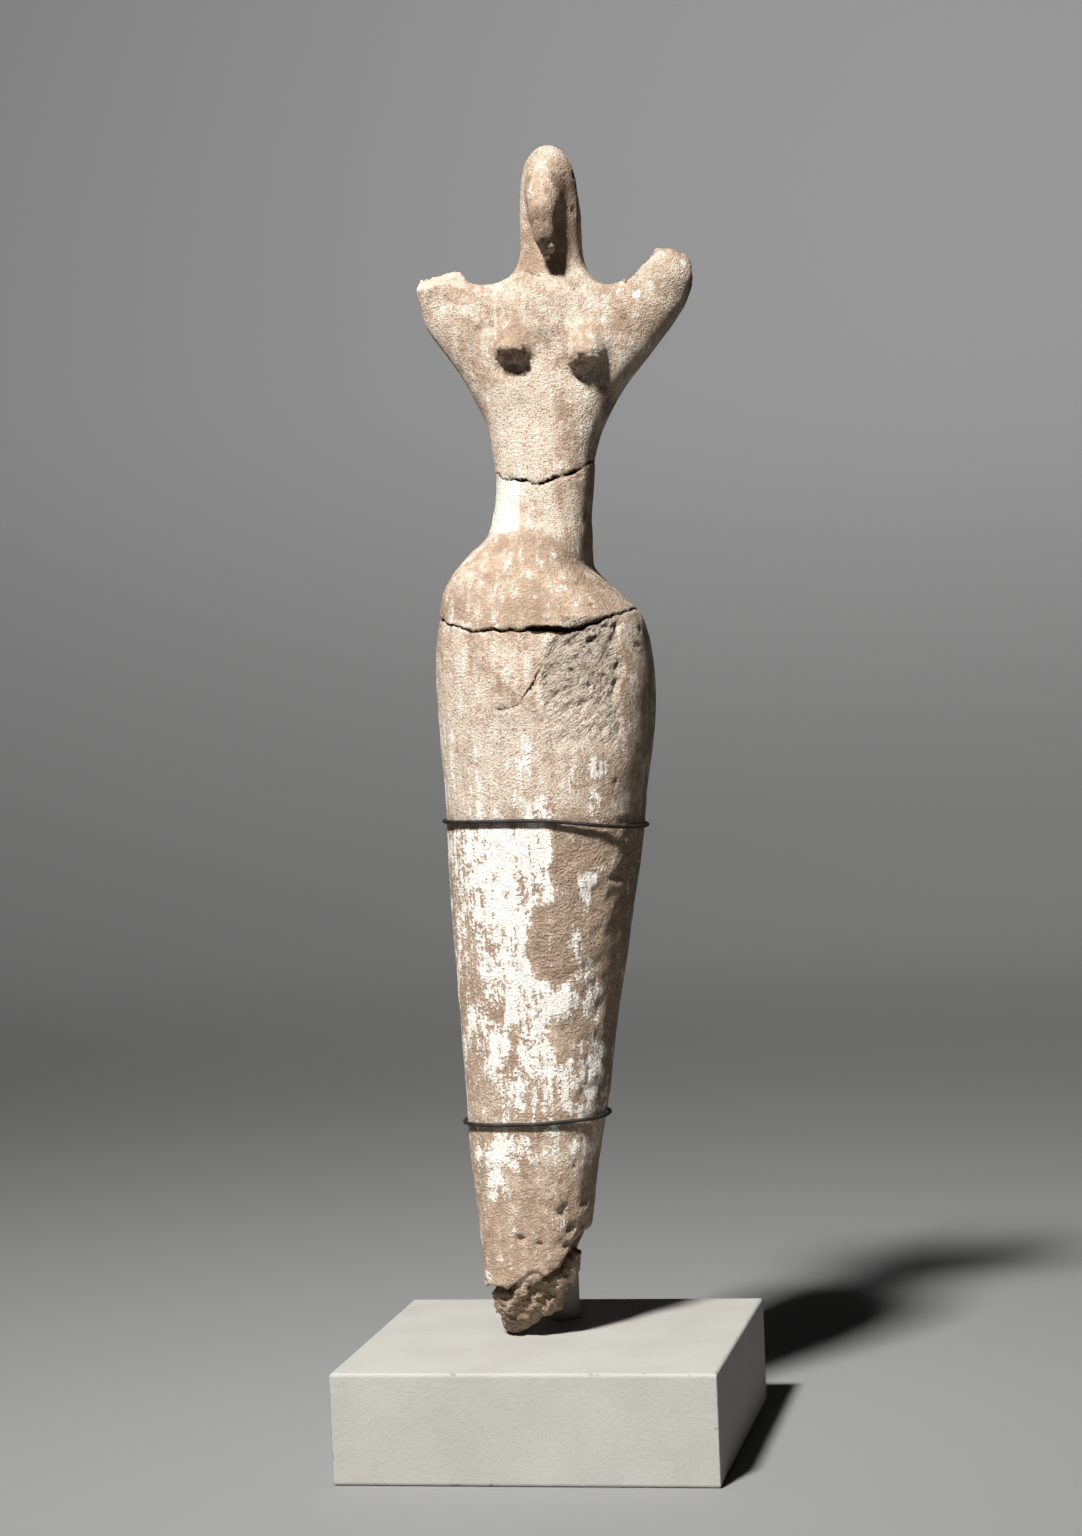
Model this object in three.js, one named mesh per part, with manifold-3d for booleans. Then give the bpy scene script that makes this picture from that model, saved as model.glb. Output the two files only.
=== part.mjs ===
// A fired clay figurine of a standing woman with a beaked head, painted and worn, mended at the waist
// and hips, its arms broken to stumps and its feet broken away. It leans on a dowel that stands in a
// small painted wooden block, and two wires tie its legs to the dowel.
// Millimetres, +Z up, the figurine faces -Y. Origin: the middle of the block's underside.
import * as THREE from "three";
import { mergeVertices } from "three/addons/utils/BufferGeometryUtils.js";
import Module from "manifold-3d";

const wasm = await Module();
wasm.setup();

// Driving sizes
const FIGURE_HEIGHT = 310;
const BLOCK_WIDTH = 98;
const BLOCK_DEPTH = 95.4;
const BLOCK_HEIGHT = 28.4;
const BLOCK_EDGE_ROUNDING = 0.9;
const ROD_DIAMETER = 8;
const ROD_TIP_CHAMFER = 0.7;
const HOLE_FLOOR_THICKNESS = 12;
const ROD_X = -1.2;
const WIRE_DIAMETER = 1;
const UPPER_WIRE_DROP_PER_MM = -0.05;
const LOWER_WIRE_DROP_PER_MM = 0.02;
const WIRE_TAIL_LENGTH = 7;

// Clearances: resting pieces keep a hair of air between their solids
const RESTING_GAP = 0.3;
const ROD_HOLE_CLEARANCE = 0.3;
const WIRE_GAP = 0.3;

// The figurine's form, in shares of its height, measured up from the tip of the broken foot.
// Each row: height, left edge, right edge, front, back.
const BODY_SECTIONS = [
  [0.0419, -0.0575, 0.0221, -0.0361, 0.0387],
  [0.0968, -0.0607, 0.0357, -0.0406, 0.0419],
  [0.1516, -0.0652, 0.0440, -0.0458, 0.0442],
  [0.2065, -0.0665, 0.0547, -0.0503, 0.0461],
  [0.2597, -0.0685, 0.0624, -0.0552, 0.0487],
  [0.3129, -0.0706, 0.0724, -0.0603, 0.0510],
  [0.3677, -0.0724, 0.0821, -0.0655, 0.0535],
  [0.4145, -0.0726, 0.0906, -0.0694, 0.0555],
  [0.4548, -0.0727, 0.0951, -0.0723, 0.0568],
  [0.5016, -0.0748, 0.1027, -0.0742, 0.0640],
  [0.5484, -0.0766, 0.1051, -0.0758, 0.0855],
  [0.5806, -0.0756, 0.1014, -0.0742, 0.0961],
  [0.6032, -0.0723, 0.0947, -0.0710, 0.0994],
  [0.6177, -0.0705, 0.0821, -0.0677, 0.0981],
  [0.6306, -0.0662, 0.0689, -0.0639, 0.0929],
  [0.6442, -0.0577, 0.0574, -0.0587, 0.0813],
  [0.6581, -0.0446, 0.0570, -0.0523, 0.0658],
  [0.6710, -0.0301, 0.0578, -0.0458, 0.0523],
  [0.6855, -0.0247, 0.0576, -0.0403, 0.0419],
  [0.7161, -0.0200, 0.0610, -0.0361, 0.0348],
  [0.7403, -0.0222, 0.0640, -0.0342, 0.0329],
  [0.7661, -0.0269, 0.0744, -0.0323, 0.0310],
  [0.7935, -0.0388, 0.0915, -0.0316, 0.0297],
  [0.8210, -0.0541, 0.1149, -0.0306, 0.0290],
  [0.8484, -0.0735, 0.1361, -0.0290, 0.0277],
  [0.8694, -0.0780, 0.1465, -0.0271, 0.0265],
  [0.8935, -0.0805, 0.1520, -0.0258, 0.0258],
];
const BODY_SQUARENESS = 2.45;
const SHOULDER_TOP = 0.8782;
const SHOULDER_SLOPE = -0.07;
const SHOULDER_ROUNDING = 0.017;
// The widest depth of the legs behind the middle, up to the height where the dowel ends
const BACK_OF_LEGS = 0.0568;
const ROD_TOP = 0.4550;
// Heights of the wires on the legs
const UPPER_WIRE = 0.4323;
const LOWER_WIRE = 0.1839;

// Raised stumps of the arms: inner end, outer end (x, y, z), radius, and how thick they are for their width
const LEFT_STUMP = [-0.0260, 0, 0.8340, -0.0607, 0, 0.8860, 0.0213];
const RIGHT_STUMP = [0.0820, 0, 0.8330, 0.1283, 0, 0.8825, 0.0236];
const STUMP_FLATNESS = 1.16;
const STUMP_BLEND = 0.014;

// Neck column, crown and the beak that bends forward and down from it (x, y, z, radius)
const NECK_LOW = [0.0320, 0.0020, 0.8550];
const NECK_HIGH = [0.0346, 0.0000, 0.9560];
const NECK_HALF_WIDTH = 0.0252;
const NECK_HALF_DEPTH = 0.0235;
const NECK_SQUARENESS = 2.7;
const NECK_TOP_ROUNDING = 0.026;
const NECK_BLEND = 0.036;
const CROWN = [0.0342, -0.0040, 0.9560];
const CROWN_HALF = [0.0236, 0.0250, 0.0396];
const BEAK = [
  [0.0346, -0.0090, 0.9685, 0.0218],
  [0.0344, -0.0270, 0.9510, 0.0185],
  [0.0340, -0.0385, 0.9345, 0.0142],
  [0.0356, -0.0425, 0.9180, 0.0108],
  [0.0386, -0.0420, 0.9030, 0.0078],
];
const BEAK_BLEND = 0.008;
// How narrow the beak is for its depth, and the broken face under its tip (a point and the way it faces)
const BEAK_NARROWNESS = 1.25;
const BEAK_BREAK = [0.0386, -0.0465, 0.9058, 0, -0.687, -0.726];

// Breasts: small drooping knobs (root and tip as x, y, z, radius), each worn flat below the tip (y, z)
const BREASTS = [
  [0.0026, -0.0230, 0.8310, 0.0165, 0.0026, -0.0375, 0.8230, 0.0125, -0.0495, 0.8240],
  [0.0650, -0.0230, 0.8275, 0.0185, 0.0650, -0.0370, 0.8170, 0.0140, -0.0505, 0.8158],
];
const BREAST_UNDERSIDE = [-0.45, -0.893];
const BREAST_BLEND = 0.011;

// The broken foot: a narrower core below the edge where the outer clay has come away
const CORES = [
  [[-0.0190, 0.0560, 0.0355], [-0.0250, 0.0330, 0.0265], [-0.0335, 0.0130, 0.0128]],
  [[0.0010, 0.0600, 0.0240], [-0.0061, 0.0371, 0.0200], [-0.0265, 0.0168, 0.0126]],
];
const CORE_STEP = 0.0085;
// Height of that edge from left to right (x, height)
const BREAK_EDGE = [
  [-0.0500, 0.0440], [-0.0330, 0.0432], [-0.0240, 0.0530], [0.0000, 0.0572],
  [0.0130, 0.0620], [0.0200, 0.0730], [0.0290, 0.0850], [0.0420, 0.0950],
];
const BREAK_ROUGHNESS = 0.0042;

// Broken faces of the stumps (a point and the way it faces): one over the left stump that slopes to the
// front, then the end, the inner slope and the flat top of the right stump
const STUMP_BREAKS = [
  [-0.0597, 0, 0.8920, -0.138, -0.366, 0.920],
  [0.1527, 0, 0.8800, 0.966, -0.030, 0.255],
  [0.1103, 0, 0.8900, -0.730, 0, 0.683],
  [0.1325, 0, 0.9031, 0.100, 0, 0.995],
];

// A smooth curve through one column of the sections, at a height
function sectionAt(height) {
  const rows = BODY_SECTIONS;
  const last = rows.length - 1;
  let i = 0;
  while (i < last - 1 && height > rows[i + 1][0]) i += 1;
  const h = Math.min(Math.max(height, rows[0][0]), rows[last][0]);
  const a = rows[Math.max(i - 1, 0)];
  const b = rows[i];
  const c = rows[i + 1];
  const d = rows[Math.min(i + 2, last)];
  const span = c[0] - b[0];
  const t = (h - b[0]) / span;
  const out = [];
  for (let k = 1; k < 5; k += 1) {
    const slopeB = ((c[k] - a[k]) / (c[0] - a[0])) * span;
    const slopeC = ((d[k] - b[k]) / (d[0] - b[0])) * span;
    const t2 = t * t;
    const t3 = t2 * t;
    const value = (2 * t3 - 3 * t2 + 1) * b[k] + (t3 - 2 * t2 + t) * slopeB
      + (-2 * t3 + 3 * t2) * c[k] + (t3 - t2) * slopeC;
    out.push(value);
  }
  return out;
}

function smoothMin(a, b, k) {
  const h = Math.max(k - Math.abs(a - b), 0) / k;
  return Math.min(a, b) - h * h * k * 0.25;
}

function smoothMax(a, b, k) {
  return -smoothMin(-a, -b, k);
}

// Distance along the ray from the middle of a rounded-box section to its edge
function columnDistance(dx, dy, halfX, halfY, power) {
  const reach = Math.hypot(dx, dy);
  const ratio = (Math.abs(dx / halfX) ** power + Math.abs(dy / halfY) ** power) ** (1 / power);
  if (ratio < 1e-6) return -Math.min(halfX, halfY);
  return reach * (1 - 1 / ratio);
}

// Distance to a tapered rod with round ends, flattened in y by a factor
function taperDistance(x, y, z, ax, ay, az, ra, bx, by, bz, rb, flatness) {
  const px = x - ax;
  const py = (y - ay) * flatness;
  const pz = z - az;
  const qx = bx - ax;
  const qy = (by - ay) * flatness;
  const qz = bz - az;
  const along = (px * qx + py * qy + pz * qz) / (qx * qx + qy * qy + qz * qz);
  const t = Math.min(Math.max(along, 0), 1);
  return Math.hypot(px - qx * t, py - qy * t, pz - qz * t) - (ra + (rb - ra) * t);
}

// Distance in front of a flat cut, given as a point and the way it faces
function cutDistance(x, y, z, cut) {
  return (x - cut[0]) * cut[3] + (y - cut[1]) * cut[4] + (z - cut[2]) * cut[5];
}

// Height of the outer clay's broken edge at a place from left to right
function breakEdgeAt(x) {
  const rows = BREAK_EDGE;
  let i = 0;
  while (i < rows.length - 2 && x > rows[i + 1][0]) i += 1;
  const t = Math.min(Math.max((x - rows[i][0]) / (rows[i + 1][0] - rows[i][0]), 0), 1);
  return rows[i][1] + (rows[i + 1][1] - rows[i][1]) * t;
}

// A broken surface is uneven in two sizes of lump
function roughness(x, y, z) {
  const coarse = Math.sin(x * 265 + 1.3) * Math.sin(y * 240 + 0.4) + Math.sin((z - x) * 215 + 2.1);
  const fine = Math.sin((x + y) * 520 + 0.7) * Math.sin((y - z) * 560 + 1.9);
  return 0.42 * coarse + 0.22 * fine;
}

// Signed distance to the figurine, all in shares of its height
function figureField(x, y, z) {
  const [left, right, front, back] = sectionAt(z);
  const halfX = (right - left) / 2;
  const dx = x - (left + right) / 2;
  const side = columnDistance(dx, y, halfX, y < 0 ? -front : back, BODY_SQUARENESS);

  // shoulders
  const top = z - SHOULDER_TOP - SHOULDER_SLOPE * (x - 0.034);
  const r = SHOULDER_ROUNDING;
  let d = Math.min(Math.max(side + r, top + r), 0) - r
    + Math.hypot(Math.max(side + r, 0), Math.max(top + r, 0));
  for (const s of [LEFT_STUMP, RIGHT_STUMP]) {
    const stump = taperDistance(x, y, z, s[0], s[1], s[2], s[6], s[3], s[4], s[5], s[6], STUMP_FLATNESS);
    d = smoothMin(d, stump, STUMP_BLEND);
  }

  // neck, crown and beak
  const t = Math.min(Math.max((z - NECK_LOW[2]) / (NECK_HIGH[2] - NECK_LOW[2]), 0), 1);
  const neckX = NECK_LOW[0] + (NECK_HIGH[0] - NECK_LOW[0]) * t;
  const neckY = NECK_LOW[1] + (NECK_HIGH[1] - NECK_LOW[1]) * t;
  const shaft = columnDistance(x - neckX, y - neckY, NECK_HALF_WIDTH, NECK_HALF_DEPTH, NECK_SQUARENESS);
  const neck = Math.max(smoothMax(shaft, z - NECK_HIGH[2], NECK_TOP_ROUNDING), NECK_LOW[2] - z);
  const cx = (x - CROWN[0]) / CROWN_HALF[0];
  const cy = (y - CROWN[1]) / CROWN_HALF[1];
  const cz = (z - CROWN[2]) / CROWN_HALF[2];
  const crown = (Math.hypot(cx, cy, cz) - 1) * CROWN_HALF[0];
  let head = smoothMin(neck, crown, BEAK_BLEND);
  let beak = 1;
  for (let i = 0; i < BEAK.length - 1; i += 1) {
    const a = BEAK[i];
    const b = BEAK[i + 1];
    const wide = BEAK_NARROWNESS;
    const piece = taperDistance(x * wide, y, z, a[0] * wide, a[1], a[2], a[3], b[0] * wide, b[1], b[2], b[3], 1);
    beak = smoothMin(beak, piece, BEAK_BLEND * 0.4);
  }
  beak = smoothMax(beak, cutDistance(x, y, z, BEAK_BREAK), BEAK_BLEND * 0.4);
  head = smoothMin(head, beak, BEAK_BLEND);
  d = smoothMin(d, head, NECK_BLEND);

  // breasts
  for (const b of BREASTS) {
    const knob = taperDistance(x, y, z, b[0], b[1], b[2], b[3], b[4], b[5], b[6], b[7], 1);
    const under = (y - b[8]) * BREAST_UNDERSIDE[0] + (z - b[9]) * BREAST_UNDERSIDE[1];
    d = smoothMin(d, smoothMax(knob, under, BREAST_BLEND * 0.3), BREAST_BLEND);
  }

  // broken faces of the stumps
  const uneven = BREAK_ROUGHNESS * 0.5 * roughness(x, y, z);
  for (const face of STUMP_BREAKS) {
    const offStump = face[0] < 0 ? -0.030 - x : x - 0.096;
    d = Math.max(d, Math.min(cutDistance(x, y, z, face) + uneven, offStump));
  }

  // foot: the outer clay ends on an uneven edge, and a narrower core goes on to the tip
  const shell = smoothMax(d, breakEdgeAt(x) - z + BREAK_ROUGHNESS * roughness(x, y, z * 0.3), 0.004);
  let core = 1;
  for (const lobe of CORES) {
    for (let i = 0; i < lobe.length - 1; i += 1) {
      const a = lobe[i];
      const b = lobe[i + 1];
      core = smoothMin(core, taperDistance(x, y, z, a[0], 0, a[1], a[2], b[0], 0, b[1], b[2], 1), 0.003);
    }
  }
  core += BREAK_ROUGHNESS * 0.45 * roughness(x + 0.05, y, z) * Math.min(Math.max((z - 0.004) / 0.02, 0), 1);
  const inner = Math.max(d + CORE_STEP, CORES[0][0][1] - z);
  return smoothMin(shell, smoothMin(Math.max(core, z - 0.080), inner, 0.008), 0.004);
}

// Lines of a grid with a step that changes along it: [start, end, step] stretches
function gridLines(stretches) {
  const lines = [stretches[0][0]];
  for (const [from, to, step] of stretches) {
    const count = Math.max(1, Math.round((to - from) / step));
    for (let i = 1; i <= count; i += 1) lines.push(from + ((to - from) * i) / count);
  }
  return lines;
}

// Turns the field into a closed mesh: one vertex in each grid cell that the surface crosses,
// moved onto the surface, and one quad for each grid edge that it crosses.
function meshField(field, xs, ys, zs, height) {
  const nx = xs.length;
  const ny = ys.length;
  const nz = zs.length;
  const values = new Float64Array(nx * ny * nz);
  const at = (i, j, k) => (k * ny + j) * nx + i;
  for (let k = 0; k < nz; k += 1) {
    for (let j = 0; j < ny; j += 1) {
      for (let i = 0; i < nx; i += 1) values[at(i, j, k)] = field(xs[i], ys[j], zs[k]) || 1e-9;
    }
  }
  const cellVertex = new Map();
  const positions = [];
  for (let k = 0; k < nz - 1; k += 1) {
    for (let j = 0; j < ny - 1; j += 1) {
      for (let i = 0; i < nx - 1; i += 1) {
        let count = 0;
        const sum = [0, 0, 0];
        for (let axis = 0; axis < 3; axis += 1) {
          for (let c = 0; c < 4; c += 1) {
            const o = [0, 0, 0];
            o[(axis + 1) % 3] = c & 1;
            o[(axis + 2) % 3] = c >> 1;
            const e = [...o];
            e[axis] = 1;
            const va = values[at(i + o[0], j + o[1], k + o[2])];
            const vb = values[at(i + e[0], j + e[1], k + e[2])];
            if (va < 0 === vb < 0) continue;
            const t = va / (va - vb);
            const pa = [xs[i + o[0]], ys[j + o[1]], zs[k + o[2]]];
            const pb = [xs[i + e[0]], ys[j + e[1]], zs[k + e[2]]];
            for (let n = 0; n < 3; n += 1) sum[n] += pa[n] + (pb[n] - pa[n]) * t;
            count += 1;
          }
        }
        if (!count) continue;
        const p = sum.map((v) => v / count);
        const low = [xs[i], ys[j], zs[k]];
        const high = [xs[i + 1], ys[j + 1], zs[k + 1]];
        const step = 1e-4;
        for (let pass = 0; pass < 3; pass += 1) {
          const f = field(p[0], p[1], p[2]);
          const g = [
            (field(p[0] + step, p[1], p[2]) - f) / step,
            (field(p[0], p[1] + step, p[2]) - f) / step,
            (field(p[0], p[1], p[2] + step) - f) / step,
          ];
          const size = Math.max(g[0] * g[0] + g[1] * g[1] + g[2] * g[2], 0.25);
          for (let n = 0; n < 3; n += 1) {
            const margin = (high[n] - low[n]) * 0.02;
            p[n] = Math.min(Math.max(p[n] - (f * g[n]) / size, low[n] + margin), high[n] - margin);
          }
        }
        cellVertex.set(at(i, j, k), positions.length / 3);
        positions.push(p[0] * height, p[1] * height, p[2] * height);
      }
    }
  }
  const index = [];
  for (let k = 1; k < nz - 1; k += 1) {
    for (let j = 1; j < ny - 1; j += 1) {
      for (let i = 1; i < nx - 1; i += 1) {
        for (let axis = 0; axis < 3; axis += 1) {
          const e = [i, j, k];
          e[axis] += 1;
          const va = values[at(i, j, k)];
          const vb = values[at(e[0], e[1], e[2])];
          if (va < 0 === vb < 0) continue;
          const u = [0, 0, 0];
          const v = [0, 0, 0];
          u[(axis + 1) % 3] = 1;
          v[(axis + 2) % 3] = 1;
          const q = [[1, 1], [0, 1], [0, 0], [1, 0]].map(([a, b]) =>
            cellVertex.get(at(i - a * u[0] - b * v[0], j - a * u[1] - b * v[1], k - a * u[2] - b * v[2])));
          if (va > 0) q.reverse();
          const spread = (m, n) => Math.hypot(
            positions[m * 3] - positions[n * 3],
            positions[m * 3 + 1] - positions[n * 3 + 1],
            positions[m * 3 + 2] - positions[n * 3 + 2]);
          if (spread(q[0], q[2]) <= spread(q[1], q[3])) index.push(q[0], q[1], q[2], q[0], q[2], q[3]);
          else index.push(q[0], q[1], q[3], q[1], q[2], q[3]);
        }
      }
    }
  }
  const geometry = new THREE.BufferGeometry();
  geometry.setAttribute("position", new THREE.Float32BufferAttribute(positions, 3));
  geometry.setIndex(index);
  geometry.computeVertexNormals();
  return geometry;
}

function toSolid(geometry) {
  const bare = geometry.clone();
  bare.deleteAttribute("normal");
  bare.deleteAttribute("uv");
  const merged = mergeVertices(bare, 1e-4);
  return new wasm.Manifold(new wasm.Mesh({
    numProp: 3,
    vertProperties: merged.attributes.position.array,
    triVerts: new Uint32Array(merged.index.array),
  }));
}

function toGeometry(solid) {
  const mesh = solid.getMesh();
  const geometry = new THREE.BufferGeometry();
  geometry.setAttribute("position", new THREE.BufferAttribute(new Float32Array(mesh.vertProperties), 3));
  geometry.setIndex([...mesh.triVerts]);
  geometry.computeVertexNormals();
  return geometry;
}

// Places that follow from the sizes
const figureBase = BLOCK_HEIGHT + RESTING_GAP;
const rodRadius = ROD_DIAMETER / 2;
const rodY = BACK_OF_LEGS * FIGURE_HEIGHT + RESTING_GAP + rodRadius;
const holeDepth = BLOCK_HEIGHT - HOLE_FLOOR_THICKNESS;
const holeRadius = rodRadius + ROD_HOLE_CLEARANCE;
const rodFoot = HOLE_FLOOR_THICKNESS + RESTING_GAP;
const rodLength = figureBase + ROD_TOP * FIGURE_HEIGHT - rodFoot;

// Figurine
const figureXs = gridLines([
  [-0.1060, -0.0020, 0.0116],
  [-0.0020, 0.0680, 0.0078],
  [0.0680, 0.1720, 0.0116],
]);
const figureYs = gridLines([
  [-0.0960, -0.0640, 0.0107],
  [-0.0640, 0.0340, 0.0082],
  [0.0340, 0.1140, 0.0114],
]);
const figureZs = gridLines([
  [-0.0090, 0.0950, 0.0075],
  [0.0950, 0.4500, 0.0296],
  [0.4500, 0.5900, 0.0200],
  [0.5900, 0.7900, 0.0132],
  [0.7900, 1.0100, 0.0076],
]);
const figureGeometry = meshField(figureField, figureXs, figureYs, figureZs, FIGURE_HEIGHT);

// Block with rounded edges and a blind hole for the dowel
const flatWidth = BLOCK_WIDTH - 2 * BLOCK_EDGE_ROUNDING;
const flatDepth = BLOCK_DEPTH - 2 * BLOCK_EDGE_ROUNDING;
const blockOutline = new THREE.Shape();
blockOutline.moveTo(-flatWidth / 2, -flatDepth / 2);
blockOutline.lineTo(flatWidth / 2, -flatDepth / 2);
blockOutline.lineTo(flatWidth / 2, flatDepth / 2);
blockOutline.lineTo(-flatWidth / 2, flatDepth / 2);
blockOutline.closePath();
const blockGeometry = new THREE.ExtrudeGeometry(blockOutline, {
  depth: BLOCK_HEIGHT - 2 * BLOCK_EDGE_ROUNDING,
  bevelEnabled: true,
  bevelThickness: BLOCK_EDGE_ROUNDING,
  bevelSize: BLOCK_EDGE_ROUNDING,
  bevelSegments: 3,
});
blockGeometry.translate(0, 0, BLOCK_EDGE_ROUNDING);
const holeGeometry = new THREE.CylinderGeometry(holeRadius, holeRadius, holeDepth + 1, 32);
holeGeometry.rotateX(Math.PI / 2);
holeGeometry.translate(ROD_X, rodY, BLOCK_HEIGHT + 1 - (holeDepth + 1) / 2);
const drilledBlock = toSolid(blockGeometry).subtract(toSolid(holeGeometry));

// Dowel
const rodProfile = [
  new THREE.Vector2(0, 0),
  new THREE.Vector2(rodRadius, 0),
  new THREE.Vector2(rodRadius, rodLength - ROD_TIP_CHAMFER),
  new THREE.Vector2(rodRadius - ROD_TIP_CHAMFER, rodLength),
  new THREE.Vector2(0, rodLength),
];
const rodGeometry = new THREE.LatheGeometry(rodProfile, 32);
rodGeometry.rotateX(Math.PI / 2);

// Wires: each runs round the figurine and the dowel, pulled taut between them
function wireGeometry(heightShare, dropPerMm) {
  const height = heightShare * FIGURE_HEIGHT;
  const stand = WIRE_GAP + WIRE_DIAMETER / 2;
  const points = [];
  const [left, right] = sectionAt(heightShare);
  const middleX = ((left + right) / 2) * FIGURE_HEIGHT;
  const planeZ = (x) => height + dropPerMm * (x - middleX);
  const clear = (x, y) => {
    const h = 1e-4;
    const p = [x / FIGURE_HEIGHT, y / FIGURE_HEIGHT, planeZ(x) / FIGURE_HEIGHT];
    const f = figureField(p[0], p[1], p[2]);
    const gx = (figureField(p[0] + h, p[1], p[2]) - f) / h;
    const gy = (figureField(p[0], p[1] + h, p[2]) - f) / h;
    return (f * FIGURE_HEIGHT) / Math.hypot(gx, gy) - stand;
  };
  for (let i = 0; i < 120; i += 1) {
    const angle = (i / 120) * Math.PI * 2;
    let inside = 1;
    let outside = FIGURE_HEIGHT * 0.16;
    for (let pass = 0; pass < 30; pass += 1) {
      const mid = (inside + outside) / 2;
      if (clear(middleX + mid * Math.cos(angle), mid * Math.sin(angle)) > 0) outside = mid;
      else inside = mid;
    }
    points.push([middleX + outside * Math.cos(angle), outside * Math.sin(angle)]);
  }
  for (let i = 0; i < 48; i += 1) {
    const angle = (i / 48) * Math.PI * 2;
    const reach = rodRadius + stand;
    points.push([ROD_X + reach * Math.cos(angle), rodY + reach * Math.sin(angle)]);
  }
  points.sort((a, b) => a[0] - b[0] || a[1] - b[1]);
  const turn = (o, a, b) => (a[0] - o[0]) * (b[1] - o[1]) - (a[1] - o[1]) * (b[0] - o[0]);
  const chain = (list) => {
    const out = [];
    for (const p of list) {
      while (out.length > 1 && turn(out[out.length - 2], out[out.length - 1], p) <= 1e-6) out.pop();
      out.push(p);
    }
    out.pop();
    return out;
  };
  const ring = [...chain(points), ...chain([...points].reverse())];
  const path = new THREE.Path(ring.map((p) => new THREE.Vector2(p[0], p[1])));
  path.closePath();
  const steps = 50;
  const sides = 5;
  const loop = path.getSpacedPoints(steps);
  const tube = new THREE.TorusGeometry(1, 0.1, sides, steps);
  const place = tube.attributes.position;
  for (let j = 0; j <= sides; j += 1) {
    for (let i = 0; i <= steps; i += 1) {
      const here = loop[i % steps];
      const before = loop[(i + steps - 1) % steps];
      const after = loop[(i + 1) % steps];
      const run = Math.hypot(after.x - before.x, after.y - before.y);
      const outX = (after.y - before.y) / run;
      const outY = -(after.x - before.x) / run;
      const angle = ((j % sides) / sides) * Math.PI * 2;
      const out = (Math.cos(angle) * WIRE_DIAMETER) / 2;
      const up = (Math.sin(angle) * WIRE_DIAMETER) / 2;
      place.setXYZ(
        j * (steps + 1) + i,
        here.x + out * outX,
        here.y + out * outY,
        planeZ(here.x) + up,
      );
    }
  }
  // the two ends of the wire, twisted together behind the dowel
  const tail = new THREE.CapsuleGeometry(WIRE_DIAMETER * 0.8, WIRE_TAIL_LENGTH - WIRE_DIAMETER * 1.6, 2, 7);
  tail.rotateX(Math.PI / 2);
  const backY = rodY + rodRadius + stand;
  tail.translate(ROD_X, backY + WIRE_DIAMETER * 0.55, planeZ(ROD_X) - WIRE_TAIL_LENGTH / 2 + WIRE_DIAMETER);
  return toGeometry(toSolid(tube).add(toSolid(tail)));
}

// Colours: worn buff clay with chalky white paint, grey-white block paint, dark iron wire
const clay = new THREE.MeshStandardMaterial({ color: 0xb3997f, roughness: 0.95, metalness: 0 });
const blockPaint = new THREE.MeshStandardMaterial({ color: 0xb9b4aa, roughness: 0.7, metalness: 0 });
const rodPaint = new THREE.MeshStandardMaterial({ color: 0xb4afa5, roughness: 0.7, metalness: 0 });
const upperIron = new THREE.MeshStandardMaterial({ color: 0x3b3733, roughness: 0.55, metalness: 0.8 });
const lowerIron = new THREE.MeshStandardMaterial({ color: 0x3b3733, roughness: 0.55, metalness: 0.8 });

const figurine = new THREE.Mesh(figureGeometry, clay);
figurine.name = "figurine";
figurine.position.z = figureBase;

const block = new THREE.Mesh(toGeometry(drilledBlock), blockPaint);
block.name = "mount_block";

const rod = new THREE.Mesh(rodGeometry, rodPaint);
rod.name = "support_rod";
rod.position.set(ROD_X, rodY, rodFoot);

const upperWire = new THREE.Mesh(wireGeometry(UPPER_WIRE, UPPER_WIRE_DROP_PER_MM), upperIron);
upperWire.name = "upper_wire";
upperWire.position.z = figureBase;

const lowerWire = new THREE.Mesh(wireGeometry(LOWER_WIRE, LOWER_WIRE_DROP_PER_MM), lowerIron);
lowerWire.name = "lower_wire";
lowerWire.position.z = figureBase;

const ties = new THREE.Group();
ties.add(upperWire, lowerWire);

const mountedFigurine = new THREE.Group();
mountedFigurine.name = "mounted_figurine";
mountedFigurine.add(figurine, block, rod, ties);

export default mountedFigurine;
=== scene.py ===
"""A worn clay figurine of a standing woman with a beaked head, on its small block.

Builds the figurine, its dowel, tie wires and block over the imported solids, and a pale studio round
them. Metres, +Z up, the figurine faces -Y. Heights inside the figurine are in shares of its height.
"""

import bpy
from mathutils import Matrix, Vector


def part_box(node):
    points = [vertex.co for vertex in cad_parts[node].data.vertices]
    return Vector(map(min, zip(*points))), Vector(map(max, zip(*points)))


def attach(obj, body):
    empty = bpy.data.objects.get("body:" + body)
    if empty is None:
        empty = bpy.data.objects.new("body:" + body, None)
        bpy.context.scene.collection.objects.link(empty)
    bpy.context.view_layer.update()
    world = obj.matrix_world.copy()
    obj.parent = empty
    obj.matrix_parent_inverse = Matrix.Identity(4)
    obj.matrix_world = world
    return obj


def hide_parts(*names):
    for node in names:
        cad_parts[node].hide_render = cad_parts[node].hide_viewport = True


bl_info = {
    "name": "Clay figurine on stand",
    "version": (1, 0, 0),
    "blender": (4, 5, 0),
    "location": "3D View > Sidebar > Figurine",
    "description": "Builds a broken and mended clay figurine tied to the dowel of its block",
    "category": "Add Mesh",
}

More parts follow.
